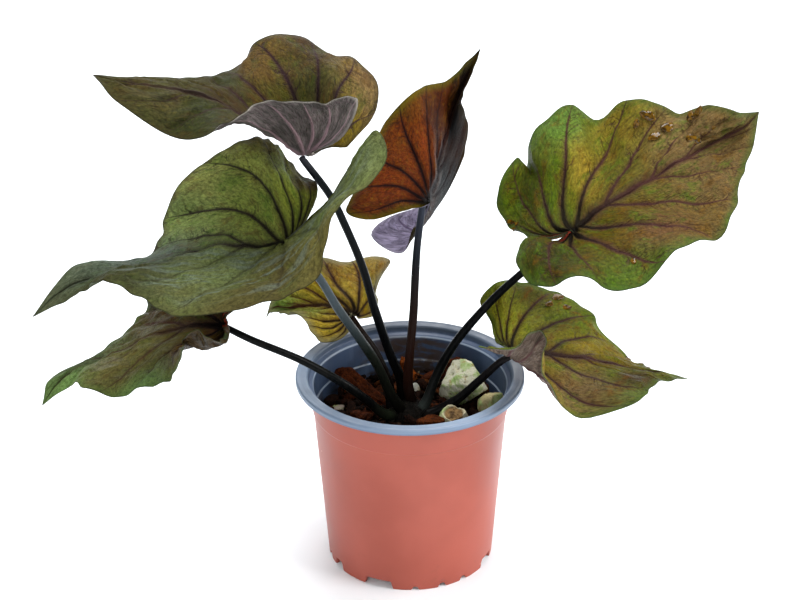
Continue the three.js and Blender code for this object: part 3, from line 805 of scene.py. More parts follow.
PALETTE = {
    "GOLD": "#6a5808", "STRAW": "#7f6d0e", "LIME": "#727c2a", "OLIVE": "#4e4c16",
    "GREEN": "#46591a", "BRIGHT": "#54722c", "BROWN": "#44300f", "UMBER": "#32230c",
    "RUST": "#72300a", "EMBER": "#4e2006", "TAN": "#604a24", "SHADE": "#282d13", "SLATE": "#131415",
    "ROSE": "#624e2e", "AMBER": "#5c4208", "DUSK": "#31331c", "DRAB": "#443f22",
    "FOG": "#47503a", "LEAF": "#6c7a34", "PALE": "#56603a", "MIST": "#566158", "KHAKI": "#565029",
    "MINT": "#6c8a4c", "WHEAT": "#927c28", "PEA": "#868f42", "SOOT": "#3e1804", "BRONZE": "#4a3e04",
    "DEEP": "#2e3108", "HAY": "#71641c", "CLAY": "#755e3a", "FERN": "#56650f", "FAWN": "#767c40",
    "HAZE": "#6a7942", "BUTTER": "#ac922c", "CITRON": "#868622", "COCOA": "#5e4228",
}

ZONES = {
    "top_left": [
        (1, 5, 0.3, "OLIVE"), (1, 4, 0.8, "UMBER"), (1, 2, 0.7, "GOLD"), (1, 6.5, 0.7, "SHADE"),
        (-1, 6, 0.6, "DRAB"), (-1, 3, 0.5, "OLIVE"), (1, 6.9, 0.3, "UMBER"), (-1, 8, 0.4, "DRAB"),
        (1, 5.3, 0.75, "TAN"), (1, 3.2, 0.5, "DRAB"), (-1, 7.4, 0.8, "SHADE"), (1, 4, 0.45, "DUSK"),
        (1, 1.2, 0.6, "GOLD"), (1, 2.5, 0.85, "CLAY"), (-1, 7.5, 0.45, "SHADE"),
    ],
    "front_left": [
        (1, 3.5, 0.4, "LIME"), (1, 5.5, 0.4, "LEAF"), (1, 4, 0.97, "KHAKI"), (1, 6, 0.9, "HAZE"),
        (-1, 5, 0.6, "DRAB"), (-1, 3, 0.6, "PALE"), (-1, 2, 0.9, "PALE"), (-1, 7.4, 0.7, "DUSK"),
        (1, 2, 0.8, "BROWN"), (-1, 5, 0.95, "DRAB"), (1, 4.6, 0.7, "PEA"), (1, 7.5, 0.5, "MIST"),
        # PALE at -1, 6.1, 0.35 is a painted sheen near the midrib
        (-1, 6.1, 0.35, "PALE"), (-1, 4, 0.85, "KHAKI"), (1, 5.2, 0.85, "FAWN"), (1, 3.4, 0.7, "LEAF"),
    ],
    "low_left": [
        (-1, 5, 0.4, "AMBER"), (1, 5, 0.5, "SHADE"), (-1, 2.5, 0.6, "BROWN"), (1, 2, 0.6, "SHADE"),
        # FOG at 1, 8, 0.7 is a painted sheen streak
        (-1, 6, 0.95, "MINT"), (-1, 8.4, 0.8, "MINT"), (1, 8, 0.7, "FOG"), (-1, 6.5, 0.5, "KHAKI"),
        (1, 6.5, 0.4, "UMBER"), (-1, 7, 0.6, "KHAKI"),
    ],
    "back_left": [
        # The bright yellows are partly the leaf's own colour, partly painted glow of light shining through it
        (1, 4, 0.4, "WHEAT"), (1, 6, 0.5, "STRAW"), (1, 2, 0.6, "STRAW"), (1, 5, 0.97, "TAN"),
        (-1, 4, 0.5, "BUTTER"), (-1, 6, 0.8, "PEA"), (1, 2.5, 0.95, "TAN"), (-1, 8.6, 0.9, "BRIGHT"),
    ],
    "centre": [
        # The rust, ember and amber of the left half are partly the leaf's own colour, partly painted glow of
        # light shining through it
        (-1, 3, 0.5, "RUST"), (-1, 5.5, 0.5, "RUST"), (-1, 5, 0.97, "AMBER"), (-1, 8, 0.7, "SLATE"),
        (1, 5, 0.5, "SLATE"), (1, 7, 0.6, "SLATE"), (1, 2, 0.5, "SLATE"), (-1, 1.5, 0.8, "EMBER"),
        (-1, 6.5, 0.6, "SOOT"), (-1, 7, 0.9, "EMBER"), (1, 6, 0.18, "SLATE"), (-1, 5, 0.8, "RUST"),
    ],
    "right": [
        (1, 5.5, 0.15, "BRONZE"), (-1, 4.4, 0.45, "FERN"), (-1, 3.2, 0.7, "DEEP"), (-1, 6, 0.8, "HAY"),
        (1, 5.8, 0.6, "COCOA"), (1, 7.5, 0.6, "ROSE"), (1, 3, 0.65, "DEEP"), (1, 4.6, 0.95, "GREEN"),
        (-1, 4.8, 0.9, "BRIGHT"), (-1, 7.5, 0.6, "CLAY"), (-1, 5.5, 0.4, "WHEAT"), (-1, 2.2, 0.6, "OLIVE"),
        (-1, 2.7, 0.85, "FERN"), (1, 4.9, 0.33, "BRONZE"), (-1, 4.2, 0.2, "FERN"), (-1, 6.3, 0.35, "OLIVE"),
    ],
    "low_right": [
        (-1, 4, 0.4, "CITRON"), (-1, 2.5, 0.9, "CITRON"), (-1, 6.2, 0.75, "FERN"), (1, 5, 0.5, "STRAW"),
        (1, 6.2, 0.6, "CLAY"), (1, 7.2, 0.8, "BROWN"), (-1, 7.6, 0.45, "GOLD"), (1, 6.5, 0.97, "LEAF"),
        (-1, 8.4, 0.6, "LEAF"), (1, 2.5, 0.6, "FERN"), (-1, 4.5, 0.9, "OLIVE"), (-1, 7, 0.3, "STRAW"),
    ],
}

LEAF_LOOKS = {
    # upper face: veins, rim, green streaks, brown streaks; lower face: skin, flush, veins, rim
    "top_left": ("#2e1c20", "#302a1a", "#3e4616", "#44290f", "#4e4a46", "#645c5a", "#8f747a", "#a09a90"),
    "front_left": ("#241d18", "#352a1e", "#46621e", "#4c3a1e", "#4a523e", "#565c48", "#3c3e34", "#5c6250"),
    "low_left": ("#34191a", "#46602e", "#45561a", "#4a2e12", "#30260f", "#3c2a0c", "#20140c", "#40361a"),
    "back_left": ("#3c170d", "#7c785a", "#64641a", "#6a4410", "#4c4a2e", "#5c5a40", "#3c2818", "#8a8668"),
    "centre": ("#1e0809", "#5e5a10", "#6a400c", "#44190a", "#726a80", "#8a8298", "#544860", "#8a8494"),
    "right": ("#3e2422", "#3c5422", "#43600c", "#5c3e0c", "#3e4c2c", "#4c5438", "#302424", "#4c5438"),
    "low_right": ("#3c2020", "#446022", "#5a6a08", "#683806", "#6a5c50", "#7a6a5e", "#58383a", "#5c7048"),
}
QUIET = {
    # the half, and the share of the midrib from which the tip, have faint veins and a painted sheen;
    # how faint the veins are, the painted sheen's colour, and how wavy the quiet part is
    "front_left": (-1, 0.62, 0.75, "#5e6a62", 1.2), "centre": (1, 0.8, 0.9, "#20262a", 0.1),
    "top_left": (0, 0.3, 0.5, "#3e4036", 1.5), "low_left": (0, 0.12, 0.45, "#7c7c70", 1),
}
# The values of a leaf that isn't in QUIET
LIVELY = (1, 1, 0, "#000000", 1)


def side_branches(s, flat, count, slant, width):
    """Fine veins that leave each main vein on both sides and slant towards the margin."""
    row, reach, _ = s.split(s.uv("cell"))
    off = s.calc("FRACT", row + 0.5) - 0.5
    away = abs(off)
    along = reach * count - away * slant + s.noise(flat, 0.8, 4, 0.6) * 2.4
    along = along + s.calc("GREATER_THAN", off, 0.0) * 0.5
    gap = abs(s.calc("FRACT", along) - 0.5)
    line = s.spread(gap, 0, width, 1, 0) * s.spread(away, 0.1, 0.48, 1, 0) * s.spread(reach, 0.12, 0.3)
    return line * s.spread(s.noise(flat, 1.7, 3, 0.6), 0.36, 0.56)


def leaf_top(name, vein, rim, fresh, dry, painted_sheen):
    """The upper face: zones streaked with green and brown, dark veins, a duller rim, and a painted sheen on
    its quiet parts.
    """
    s = Shader(name)
    flat, grain = s.uv("flat"), s.uv("grain")
    broad = s.noise(flat, 0.8, 5, 0.65, 0.8)
    streak = s.noise(grain, (2.4, 3.4, 1), 6, 0.7, 0.7)
    fibre = s.noise(grain, (11, 16, 1), 5, 0.7, 0.5)
    mottle = s.noise(flat, 5.5, 6, 0.78, 0.4)
    painted_sheen_streaks = s.noise(flat, (2.2, 0.4, 1), 5, 0.6, 0.7)
    net = s.spread(s.cells(grain, (9, 8, 1), "DISTANCE_TO_EDGE"), 0, 0.12, 1, 0)
    near_vein, margin, quiet = s.attribute("vein"), s.attribute("margin"), s.attribute("quiet")
    loud = 1.0 - quiet
    patch = streak * 0.55 + broad * 0.45
    colour = s.layers(
        s.tint(),
        (loud * s.spread(patch, 0.38, 0.5, 0.6, 0), fresh),
        (loud * s.spread(patch, 0.5, 0.62, 0, 0.6), dry),
        # painted sheen: streaks of the leaf's sheen colour over its quiet parts, fading towards the margin
        (quiet * s.spread(painted_sheen_streaks, 0.46, 0.66, 0, 0.75) * s.spread(margin, 3, 17), painted_sheen),
        (s.spread(fibre, 0.36, 0.5, 0.4, 0), "#12130a"),
        (loud * s.spread(fibre, 0.55, 0.7, 0, 0.22), "#8a7a12"),
    )
    colour = s.shade(colour, s.spread(mottle, 0.32, 0.68, 0.6, 1.36))
    fine_branches = side_branches(s, flat, 21, 7, 0.16) * 0.5
    branch = s.calc("MAXIMUM", side_branches(s, flat, 6.5, 2.6, 0.08), fine_branches) * loud
    # halo: vein colour around the veins, partly the veins' own colour and partly painted shade in the grooves
    # along them
    halo = s.spread(near_vein, 1, 4.5, 0.7, 0) * s.spread(fibre, 0.3, 0.6, 0.4, 1)
    line = s.spread(near_vein + s.spread(fibre, 0.3, 0.7, -0.3, 0.3), 0.6, 1.6, 0.9, 0)
    core = s.mix(s.spread(s.attribute("from_joint"), 4, 50), "#0a0507", vein)
    colour = s.layers(
        colour,
        (branch * 0.8, vein),
        (net * 0.18, "#17140b"),
        (s.spread(margin, 0, 5, 0.6, 0) * loud, rim),
        (halo * loud, vein),
        ((1.0 - quiet * 0.85) * line, core),
        (s.spread(margin, 0.1, 0.6, 0.55, 0), "#20241a"),
        (s.attribute("flare"), "#8e2618"),
    )
    height = streak * 2.3 + fibre * 0.8 - branch * 0.9 + mottle * 1.2 - net * 0.2
    height = height * s.spread(quiet, 0.2, 0.9, 1, 0.5)
    gloss = s.spread(quiet, 0.1, 0.85, 0.06, 0.01)
    return s.done(colour, s.spread(streak, 0.3, 0.7, 0.34, 0.5), gloss, height, 0.9, 0.8)


def leaf_underside(name, skin, flush, vein, rim):
    """The lower face: dull, wrinkled along the veins, with the veins raised."""
    s = Shader(name)
    flat, grain = s.uv("flat"), s.uv("grain")
    broad = s.noise(flat, 0.8, 4, 0.6, 0.5)
    fibre = s.noise(grain, (9, 5, 1), 6, 0.72, 0.9)
    net = s.spread(s.cells(grain, (8, 6, 1), "DISTANCE_TO_EDGE"), 0, 0.12, 1, 0)
    colour = s.mix(s.spread(broad, 0.35, 0.65, 0, 0.8), skin, flush)
    colour = s.layers(
        s.shade(colour, s.spread(fibre, 0.34, 0.66, 0.45, 1.55)),
        (net * 0.2, vein),
        (s.spread(s.attribute("vein"), 1.1, 3.0, 0.85, 0), vein),
        (s.spread(s.attribute("margin"), 0.3, 2.4, 0.7, 0), rim),
    )
    height = fibre * 1.4 + net * 0.4
    return s.done(colour, s.spread(broad, 0.3, 0.7, 0.42, 0.55), 0.07, height, 0.9, 1.0)


def leaf_materials(place):
    vein, rim, fresh, dry, *under = LEAF_LOOKS[place]
    painted_sheen = QUIET.get(place, LIVELY)[3]
    top = leaf_top(f"leaf_top_{place}", vein, rim, fresh, dry, painted_sheen)
    return top, leaf_underside(f"leaf_under_{place}", *under)


DROPS = {
    # where drops of water lie on a flat leaf, and their half widths in millimetres
    "right": [
        (-0.285, 0.472, 1.6), (-0.283, 0.529, 2.4), (-0.183, 0.533, 2.0), (-0.201, 0.596, 2.5),
        (-0.186, 0.712, 2.2), (-0.182, 0.746, 1.9), (-0.069, 0.685, 2.1), (-0.073, 0.766, 1.7),
        (0.389, 0.078, 1.4), (-0.192, -0.332, 1.5), (-0.149, -0.324, 1.2), (-0.17, -0.3, 0.8),
    ],
    "low_right": [
        (-0.358, 0.174, 1.7), (-0.422, 0.218, 2.4), (-0.386, 0.273, 1.6), (-0.245, 0.674, 1.5),
        (-0.214, 0.732, 1.5), (-0.151, 0.78, 1.3),
    ],
}


def water():
    s = Shader("water")
    cloud = s.noise(s.place(), 500, 3, 0.6)
    colour = s.mix(s.spread(cloud, 0.35, 0.65), "#2c1e06", "#74520e")
    clear = {"Transmission Weight": 0.3, "IOR": 1.4}
    return s.done(colour, s.spread(cloud, 0.3, 0.7, 0.05, 0.12), 0.2, cloud, 0.2, 0.2, **clear)


def make_drops(place, flat, top, normals):
    """Uneven beads of water that lie on the upper face."""
    random = np.random.default_rng(DROP_SEED + len(place))
    rays, faces = ball(4)
    beads = []
    for x, y, size in DROPS[place]:
        near = np.linalg.norm(flat - (x, y), axis=1).argmin()
        up = normals[near]
        along = unit(np.cross(up, random.normal(size=3)))
        axes = np.array([along * random.uniform(1.3, 1.9), np.cross(up, along), up * 0.34]) * size
        bead = rays * (1 + 0.3 * ripple(rays, 1.5, DROP_SEED + 10 + len(beads)))[:, None]
        beads.append((top[near] + up * 0.1 * size + bead @ axes, faces))
    new_piece(f"water_on_{place}", joined(beads), [water()])


# Stalks: round, slightly ribbed tubes that run into the midribs

STALK_TINTS = {
    # shares of the way from the corm to the joint, and the colours there
    "top_left": [(0, "#080706"), (0.4, "#050607"), (0.93, "#0a0e10"), (1, "#2e2e34")],
    "front_left": [(0, "#0d0b09"), (0.35, "#10140f"), (0.62, "#363e42"), (1, "#30373a")],
    "low_left": [(0, "#12120f"), (0.12, "#1e2418"), (0.3, "#060707"), (1, "#060808")],
    "back_left": [(0, "#0c0a08"), (0.5, "#140e0b"), (1, "#241812")],
    "centre": [(0, "#0c0807"), (0.25, "#24110a"), (0.45, "#1a0e0a"), (0.65, "#15181c"), (1, "#343844")],
    "right": [(0, "#1c1e1b"), (0.08, "#343a37"), (0.2, "#161817"), (0.36, "#050606"), (1, "#090b0d")],
    "low_right": [(0, "#0c0a09"), (0.5, "#070708"), (1, "#141112")],
}


def stalk_skin():
    s = Shader("stalk_skin")
    streak = s.noise(s.place(), (500, 500, 60), 4, 0.6)
    speck = s.noise(s.place(), 1400, 3, 0.6)
    colour = s.layers(
        s.tint(),
        (s.spread(streak, 0.45, 0.75, 0, 0.25), "#221f1c"),
        (s.spread(speck, 0.62, 0.75, 0, 0.2), "#4a4038"),
    )
    return s.done(colour, s.spread(streak, 0.3, 0.7, 0.24, 0.36), 0.05, streak, 0.35, 0.3)


def make_stalk(place, leaf, sheet, material):
    """From the corm to the underside of the leaf's joint."""
    across, along = sheet((0.03, 0.03)) - sheet((-0.03, 0.03)), sheet((0, 0.06)) - sheet((0, 0.03))
    normal = unit(np.cross(across, along)[0])
    joint = sheet((0, 0.012))[0]
    drop = JOINT_DROP + leaf.get("fold_room", 0)
    (x, y, _), *rest = leaf["stalk"]
    points = [(x, y, CORM_TOP + 0.3 + STALK_BASE_RADIUS), *rest, joint - normal * drop]
    path = centripetal_spline(points, STALK_STEPS)
    path = np.vstack([path[0] - (0, 0, 4), path, joint - normal * 0.75])
    share = np.linspace(0, 1, len(path))
    radii = STALK_BASE_RADIUS + (STALK_TOP_RADIUS - STALK_BASE_RADIUS) * share ** STALK_SWELL
    from_foot = np.linalg.norm(path - path[0], axis=1)
    radii *= 1.08 + 0.14 * np.exp(-(from_foot / 18) ** 2) + 0.03 * ripple(path, 20, len(place))
    radii[-1] = 1.0
    piece = new_piece(f"petiole_{place}", tube(path, radii, STALK_SIDES, STALK_RIBS), [material])
    shares, colours = zip(*STALK_TINTS[place])
    colours = np.array([linear(c)[:3] for c in colours])
    tint = np.stack([np.interp(share, shares, colours[:, i]) for i in range(3)], -1)
    set_tint(piece, np.repeat(tint, STALK_SIDES, axis=0))
    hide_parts(f"stalk_{place}")


# Pot: one moulded shell, terracotta outside and blue-grey on its rim and inside

# Radius and height, from the underside's middle to the rim, and on to the middle of the floor inside
POT_OUTSIDE = [
    (0, 0), (12, 0), (12, 5), (41.9, 5), (42.1, 0), (44.1, 0), (44.53, 5.6), (44.72, 8), (50.8, 86.6),
    (51.4, 87.4), (51.9, 100.8), (54.2, 102.4), (54.6, 103.6), (59.6, 103.5),
]
POT_INSIDE = [
    (60, 103.7), (60, 105.9), (59.3, 106.6), (57.6, 106.35), (55, 106.6), (54.2, 106.5), (53.5, 105.8),
    (53, 103), (51.2, 101.8), (50.5, 100.6), (50.1, 88), (49.4, 87.2), (43.2, 6.2), (0, 6.2),
]
POT_SEGMENTS = 220
CORNER = 0.45
FOOT_NOTCHES = [
    # degrees from the front towards +X, width in millimetres, height
    (-23, 15, 4.6), (3, 3, 2), (22, 3.5, 2.4), (39, 3.5, 2.4), (66, 11, 4.6), (108, 9, 4.6),
    (152, 12, 4.6), (196, 9, 4.6), (240, 12, 4.6), (284, 4, 3), (300, 7, 4.6),
]
DRAIN_HOLES, DRAIN_RING, DRAIN_RADIUS, DRAIN_SIDES = 6, 28, 3.5, 40


def rounded(profile, corner):
    """The profile with small round corners. A point next to each keeps the flats' shading flat."""
    points = [np.array(profile[0], float)]
    for before, here, after in zip(profile, profile[1:], profile[2:]):
        here = np.array(here, float)
        ways = [np.array(p, float) - here for p in (before, after)]
        cuts = [min(corner, 0.4 * np.linalg.norm(w)) for w in ways]
        ends = [here + w * cut / np.linalg.norm(w) for w, cut in zip(ways, cuts)]
        points.append(ends[0] + (ends[0] - here) * 0.15)
        for t in (0, 0.3, 0.7, 1):
            points.append((1 - t) ** 2 * ends[0] + 2 * t * (1 - t) * here + t ** 2 * ends[1])
        points.append(ends[1] + (ends[1] - here) * 0.15)
    points.append(np.array(profile[-1], float))
    return np.array(points)


def notch_height(degrees):
    """How far the foot's lower edge is cut away at an angle from the front."""
    height = 0
    for middle, width, high in FOOT_NOTCHES:
        off = abs((degrees - middle + 180) % 360 - 180) * math.radians(FOOT_RADIUS)
        height = max(height, high * (1 - float(smooth_step(width / 2 - 0.9, width / 2 + 0.9, off))))
    return height


def foot_angles():
    """Degrees round the pot, closer together at the sides of the notches."""
    angles = set(np.round(np.linspace(0, 360, POT_SEGMENTS, endpoint=False), 3))
    for middle, width, _ in FOOT_NOTCHES:
        for side in (-1, 1):
            edge = middle + side * math.degrees(width / 2 / FOOT_RADIUS)
            angles.update(np.round(np.linspace(edge - 1.3, edge + 1.3, 9) % 360, 3))
    return sorted(angles)


def notched(profile, degrees):
    """The profile at an angle from the front, with its foot lifted where a notch is."""
    lift = notch_height(degrees)
    in_foot = (profile[:, 0] > FOOT_INNER_RADIUS) & (profile[:, 1] < FOOT_DEPTH)
    lifted = lift + profile[:, 1] * (FOOT_DEPTH - lift) / FOOT_DEPTH
    return np.stack([profile[:, 0], np.where(in_foot, lifted, profile[:, 1])], -1)


def make_pot():
    profile = rounded(POT_OUTSIDE + POT_INSIDE, CORNER)
    (rim_radius, rim_edge), inner = POT_INSIDE[0], profile[1:-1]
    blue = np.argmax((inner[:, 0] > rim_radius - 0.5) & (inner[:, 1] > rim_edge - 0.3))
    angles = foot_angles()
    columns = [notched(inner, degrees) for degrees in angles]
    turns = [math.radians(degrees - 90) for degrees in angles]
    shape = spun(columns, turns, profile[0][1], profile[-1][1])
    sides = ([0, 1] + [int(j >= blue) for j in range(len(inner) - 1)]) * len(angles)
    pot = new_piece("nursery_pot", shape, [terracotta(), blue_grey()], sides)
    cutters = drain_cutters()
    cut = pot.modifiers.new("drain_holes", "BOOLEAN")
    cut.operation = "DIFFERENCE"
    cut.object = cutters
    drilled = bpy.data.meshes.new_from_object(pot.evaluated_get(bpy.context.evaluated_depsgraph_get()))
    pot.modifiers.clear()
    pot.data = drilled
    bpy.data.objects.remove(cutters)
    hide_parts("pot")


def drain_cutters():
    """Upright cylinders where the drain holes go."""
    ring = [(DRAIN_RADIUS * math.cos(a), DRAIN_RADIUS * math.sin(a)) for a in circle(DRAIN_SIDES)]
    cylinder = np.array([(x, y, height) for height in (3, 9) for x, y in ring])
    middles = [(DRAIN_RING * math.cos(a), DRAIN_RING * math.sin(a), 0) for a in circle(DRAIN_HOLES)]
    return add_mesh("drain_cutters", joined([(cylinder + m, ring_faces(2, DRAIN_SIDES)) for m in middles]))


def terracotta():
    s = Shader("terracotta_plastic")
    place = s.place()
    broad = s.noise(place, 22, 3, 0.55)
    few = s.spread(s.noise(place, 45, 2, 0.5), 0.56, 0.6)
    low = s.spread(s.split(place)[2], 0.0, 0.03, 0.5, 0)
    colour = s.layers(
        s.mix(s.spread(broad, 0.35, 0.65), "#964434", "#a04c3c"),
        (s.spread(s.cells(place, 95), 0.02, 0.055, 1, 0) * few, "#e2a694"),
        (s.spread(s.noise(place, 130, 4, 0.6), 0.62, 0.72) * low, "#8a4636"),
    )
    height = s.noise(place, 900, 3, 0.6) * 0.2 + broad
    return s.done(colour, s.spread(broad, 0.3, 0.7, 0.36, 0.46), 0.4, height, 0.12, 0.15)


def blue_grey():
    """Lighter on the rim, with painted shade darker inside and towards the back of the rim, painted highlight
    lines at the inner steps, and brown smears of mix on the back wall.
    """
    s = Shader("blue_grey_plastic")
    place = s.place()
    x, y, z = s.split(place)
    broad = s.noise(place, 30, 3, 0.55)
    streak = s.noise(place, (220, 220, 25), 4, 0.6)
    smear = s.noise(place, (60, 60, 110), 5, 0.65, 0.6)
    few = s.spread(s.noise(place, 60, 2, 0.5), 0.57, 0.6)
    back = s.spread(y, 0.022, 0.04) * s.spread(abs(x), 0.035, 0.01) * s.spread(z, 0.104, 0.098)
    # The inside is a darker copy of the rim's blue-grey: painted shade
    inside = s.layers(
        s.mix(s.spread(broad, 0.35, 0.65), "#3e4f6a", "#4b5c78"),
        (s.spread(streak, 0.5, 0.75, 0, 0.5), "#5c6c86"),
        # Painted highlight lines where the inner steps catch the light
        *((s.spread(abs(z - edge), 0.0002, 0.0006, 0.7, 0), "#a9b8ca") for edge in (0.1012, 0.0876)),
    )
    # The rim darkens towards the back: painted shade
    lip = s.mix(s.spread(y, 0.005, 0.05, 0, 0.85), s.mix(broad, "#65768c", "#74859b"), "#2c3848")
    colour = s.layers(
        inside,
        (s.spread(z, 0.1025, 0.1055), lip),
        (back * s.spread(smear, 0.44, 0.56, 0, 0.9), "#4a3a2e"),
        (s.spread(z, 0.094, 0.08) * s.spread(smear, 0.48, 0.62, 0, 0.75), "#33281f"),
        (s.spread(s.cells(place, 130), 0.03, 0.07, 1, 0) * few, "#2b2622"),
    )
    return s.done(colour, s.spread(streak, 0.3, 0.7, 0.34, 0.5), 0.5, streak, 0.15, 0.15)


# Growing mix, with what lies on it and grows out of it

# Radius and height of what is turned on a lathe
CORM_PROFILE = [
    (0, 60), (7, 61.5), (12, 66), (14, 72), (13.6, 78), (12.6, 81.4), (11.8, 82), (0, 82),
]
CROWN_PROFILE = [(0, 79.5), (11, 79.5), (11.6, 81), (10.6, 83.4), (9, 85.6), (6.6, 87.6), (3, 89), (0, 89.4)]
MIX_PROFILE = [(0, 6.5), (42.9, 6.5), (48.4, 79), (0, 79)]
BARK_CHIPS = [
    # middle x, y; length, width, height; turn; tilt; colour
    (-26, 19, 33, 9, 7.5, -36, -20, "#5e2a10"), (-25, -2, 13, 9, 6, 60, 0, "#4c220e"),
    (-20, -20, 17, 9, 6, -30, 0, "#583015"), (-5, 25, 15, 8, 6, 80, 0, "#5c3015"),
    (18, 35, 29, 7.5, 7, 0, 28, "#53250f"), (36, 26.6, 20, 5, 10, -53, 0, "#3c1d0f"),
    (11, -18, 15, 8, 10, 5, 0, "#64300f"), (-34, -8, 10, 7, 5, 100, 0, "#3c1d0e"),
    (-1, 43.5, 14, 8, 4, 0, -60, "#a8541a"),
]
STONES = [
    # middle x, y; size x, y, z; turn; fineness; pits; swelling; colour
    (28, 14, 27, 18, 20, -28, 6, 26, (1.06, 1.04, 1.16), "#cdccb4"),
    (23, -12.9, 13, 11, 13, 10, 5, 26, (1.12, 1.1, 1.18), "#c8c0a0"),
    (43, 2, 12.5, 11, 14.5, 20, 5, 12, (1.05, 1.05, 1.12), "#bfb282"),
    (3, 24, 4.5, 5, 8, 30, 4, 12, (1, 1, 1), "#cfd0c2"),
    (-13, 36, 5, 5, 8.5, -20, 4, 12, (1, 1, 1), "#d0cdb4"),
    (-38, 6, 7, 6, 5, 15, 4, 12, (1, 1, 1), "#a8988c"),
]
BROKEN_FACES = 13
PITHY_STONE, PITH_FACING, PITH_SEED = 1, (-0.1, -0.28, 0.955), 77
# Inside these radii, at these heights, a stone is clear of the pot's wall
WALL_HEIGHTS, WALL_RADII = (79, 87.2, 88), (48.5, 49.2, 49.8)
CRUMBS, CRUMB_REACH, MIX_REACH = 640, 47.0, 48.0
FIBRES, FIBRE_REACH, FIBRE_RADIUS = 34, 40, 0.22
# Rings along a splinter, and sides round it
CHIP_GRID, CRUMB_GRID = (84, 56), (9, 8)
CRUMB_COLOURS = ["#1a0d07", "#2a140a", "#3a1b0c", "#4a220e", "#572a11", "#120905", "#6a3a18", "#24120a"]
PALE_COLOURS = ["#b9b49c", "#cfcab2", "#a79f84"]


def fibrous(name, dark, light, scale, roughness):
    """Bark and mix: the piece's own tint, with fibres and pits."""
    s = Shader(name)
    place = s.place()
    fibre = s.noise(place, (scale, scale, scale * 0.4), 6, 0.75, 1.2)
    pit = s.cells(place, 1100)
    colour = s.layers(
        s.tint(),
        (s.spread(s.noise(place, 330, 4, 0.6, 0.5), 0.35, 0.6, 0.6, 0), dark),
        (s.spread(fibre, 0.38, 0.54, 0.8, 0), dark),
        (s.spread(fibre, 0.54, 0.7, 0, 0.6), light),
        (s.spread(pit, 0.1, 0.35, 0.4, 0), "#0d0705"),
    )
    return s.done(colour, roughness, 0.08, fibre * 1.5 + pit * 0.4, 0.9, 0.8)


def splinter(size, grid, random, seed, rough):
    """A broken splinter that lies along X: fibrous sides and ragged ends."""
    (length, width, height), (rings, sides) = size, grid
    u = np.linspace(-1, 1, rings)[:, None]
    angle = np.linspace(0, 2 * math.pi, sides, endpoint=False)[None, :]
    across, up = (np.sign(v) * np.abs(v) ** 0.6 / 2 for v in (np.cos(angle), np.sin(angle)))
    taper = (1 - np.abs(u) ** random.uniform(4, 9)) ** 0.5 * (1 + 0.12 * np.sin(3 * u + random.uniform(0, 6)))
    ragged = 0.08 * length * np.abs(u) ** 6 * np.sin(2 * angle + random.uniform(0, 6))
    y = width * (across * taper + 0.1 * np.sin(2.2 * u + random.uniform(0, 6)))
    z = height * (up * taper + 0.1 * np.sin(2.7 * u + random.uniform(0, 6)))
    points = np.stack([u * length / 2 + np.sign(u) * ragged, y, z], -1).reshape(-1, 3)
    along = points * (0.16, 1, 1)
    torn = ripple(along, 2.6, seed) + 0.6 * ripple(along, 1.2, seed + 1)
    torn += 0.5 * ripple(points * (0.5, 1, 1), 3.2, seed + 2)
    points += unit(points * (0, 1, 1)) * (rough * torn)[:, None]
    return points, [face[::-1] for face in ring_faces(rings, sides)]


def turned(points, tilt, turn):
    """points turned about Y by tilt, then about Z by turn, in degrees."""
    spin = Matrix.Rotation(math.radians(turn), 3, "Z") @ Matrix.Rotation(math.radians(tilt), 3, "Y")
    return points @ np.array(spin).T


def set_down(points, x, y, floor):
    """points moved by x and y, and up or down until their lowest is at floor."""
    return points + (x, y, floor - points[:, 2].min())


def make_bark():
    bark = fibrous("bark", "#1c0b05", "#96501f", 800, 0.85)
    for i, (x, y, length, width, height, turn, tilt, colour) in enumerate(BARK_CHIPS):
        random = np.random.default_rng(BARK_SEED + i)
        size = 0.93 * length, 0.9 * width, 0.9 * height
        points, faces = splinter(size, CHIP_GRID, random, BARK_SEED + 100 + 3 * i, 0.7)
        points = set_down(turned(points, -tilt, turn), x, y, MIX_TOP - 0.4)
        piece = new_piece(f"bark_piece_{i + 1}", (points, faces), [bark])
        set_tint(piece, colour)
        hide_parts(f"bark_chip_{i + 1}")


def pumice():
    """Pale and pored, with green algae, ochre stains and one brown pithy face."""
    s = Shader("pumice")
    place = s.place()
    broad = s.noise(place, 160, 4, 0.6, 0.6)
    stain = s.noise(place, 260, 5, 0.65, 0.5)
    pore = s.cells(place, 1300)
    colour = s.layers(
        s.tint(),
        (s.spread(broad, 0.48, 0.58, 0, 0.8), "#a3b878"),
        (s.spread(broad, 0.58, 0.68, 0, 0.6), "#7fa04c"),
        (s.spread(stain, 0.52, 0.68, 0, 0.7), "#a08650"),
        (s.spread(pore, 0.08, 0.3, 0.45, 0), "#75704f"),
        (s.attribute("pit"), "#5f5a3c"),
        (s.attribute("pith"), s.mix(s.spread(stain, 0.4, 0.6), "#4e3a22", "#8a6c44")),
    )
    height = pore * 0.8 + s.noise(place, 2600, 3, 0.6) * 0.4
    return s.done(colour, 0.85, 0.25, height, 0.7, 0.5)


def broken_stone(rays, size, random, number, pith_facing):
    """A ball that is broken along flat faces, and rough."""
    planes = unit(random.normal(size=(BROKEN_FACES, 3)))
    offsets = random.uniform(0.7, 0.97, BROKEN_FACES)
    if number == PITHY_STONE:
        planes[0], offsets[0] = pith_facing, 0.8
    facing = rays @ planes.T
    reaches = np.where(facing > 0.08, offsets / facing.clip(0.08), 9)
    radius = (reaches ** -46).sum(1) ** (-1 / 46)
    points = rays * radius.clip(0, 1.15)[:, None] * size / 2
    least = min(size)
    seed = STONE_SEED + 100 + number
    rough = ripple(points, 0.3 * least, seed) + 0.6 * ripple(points, 0.12 * least, seed + 20)
    return points + rays * (0.014 * least * rough)[:, None]


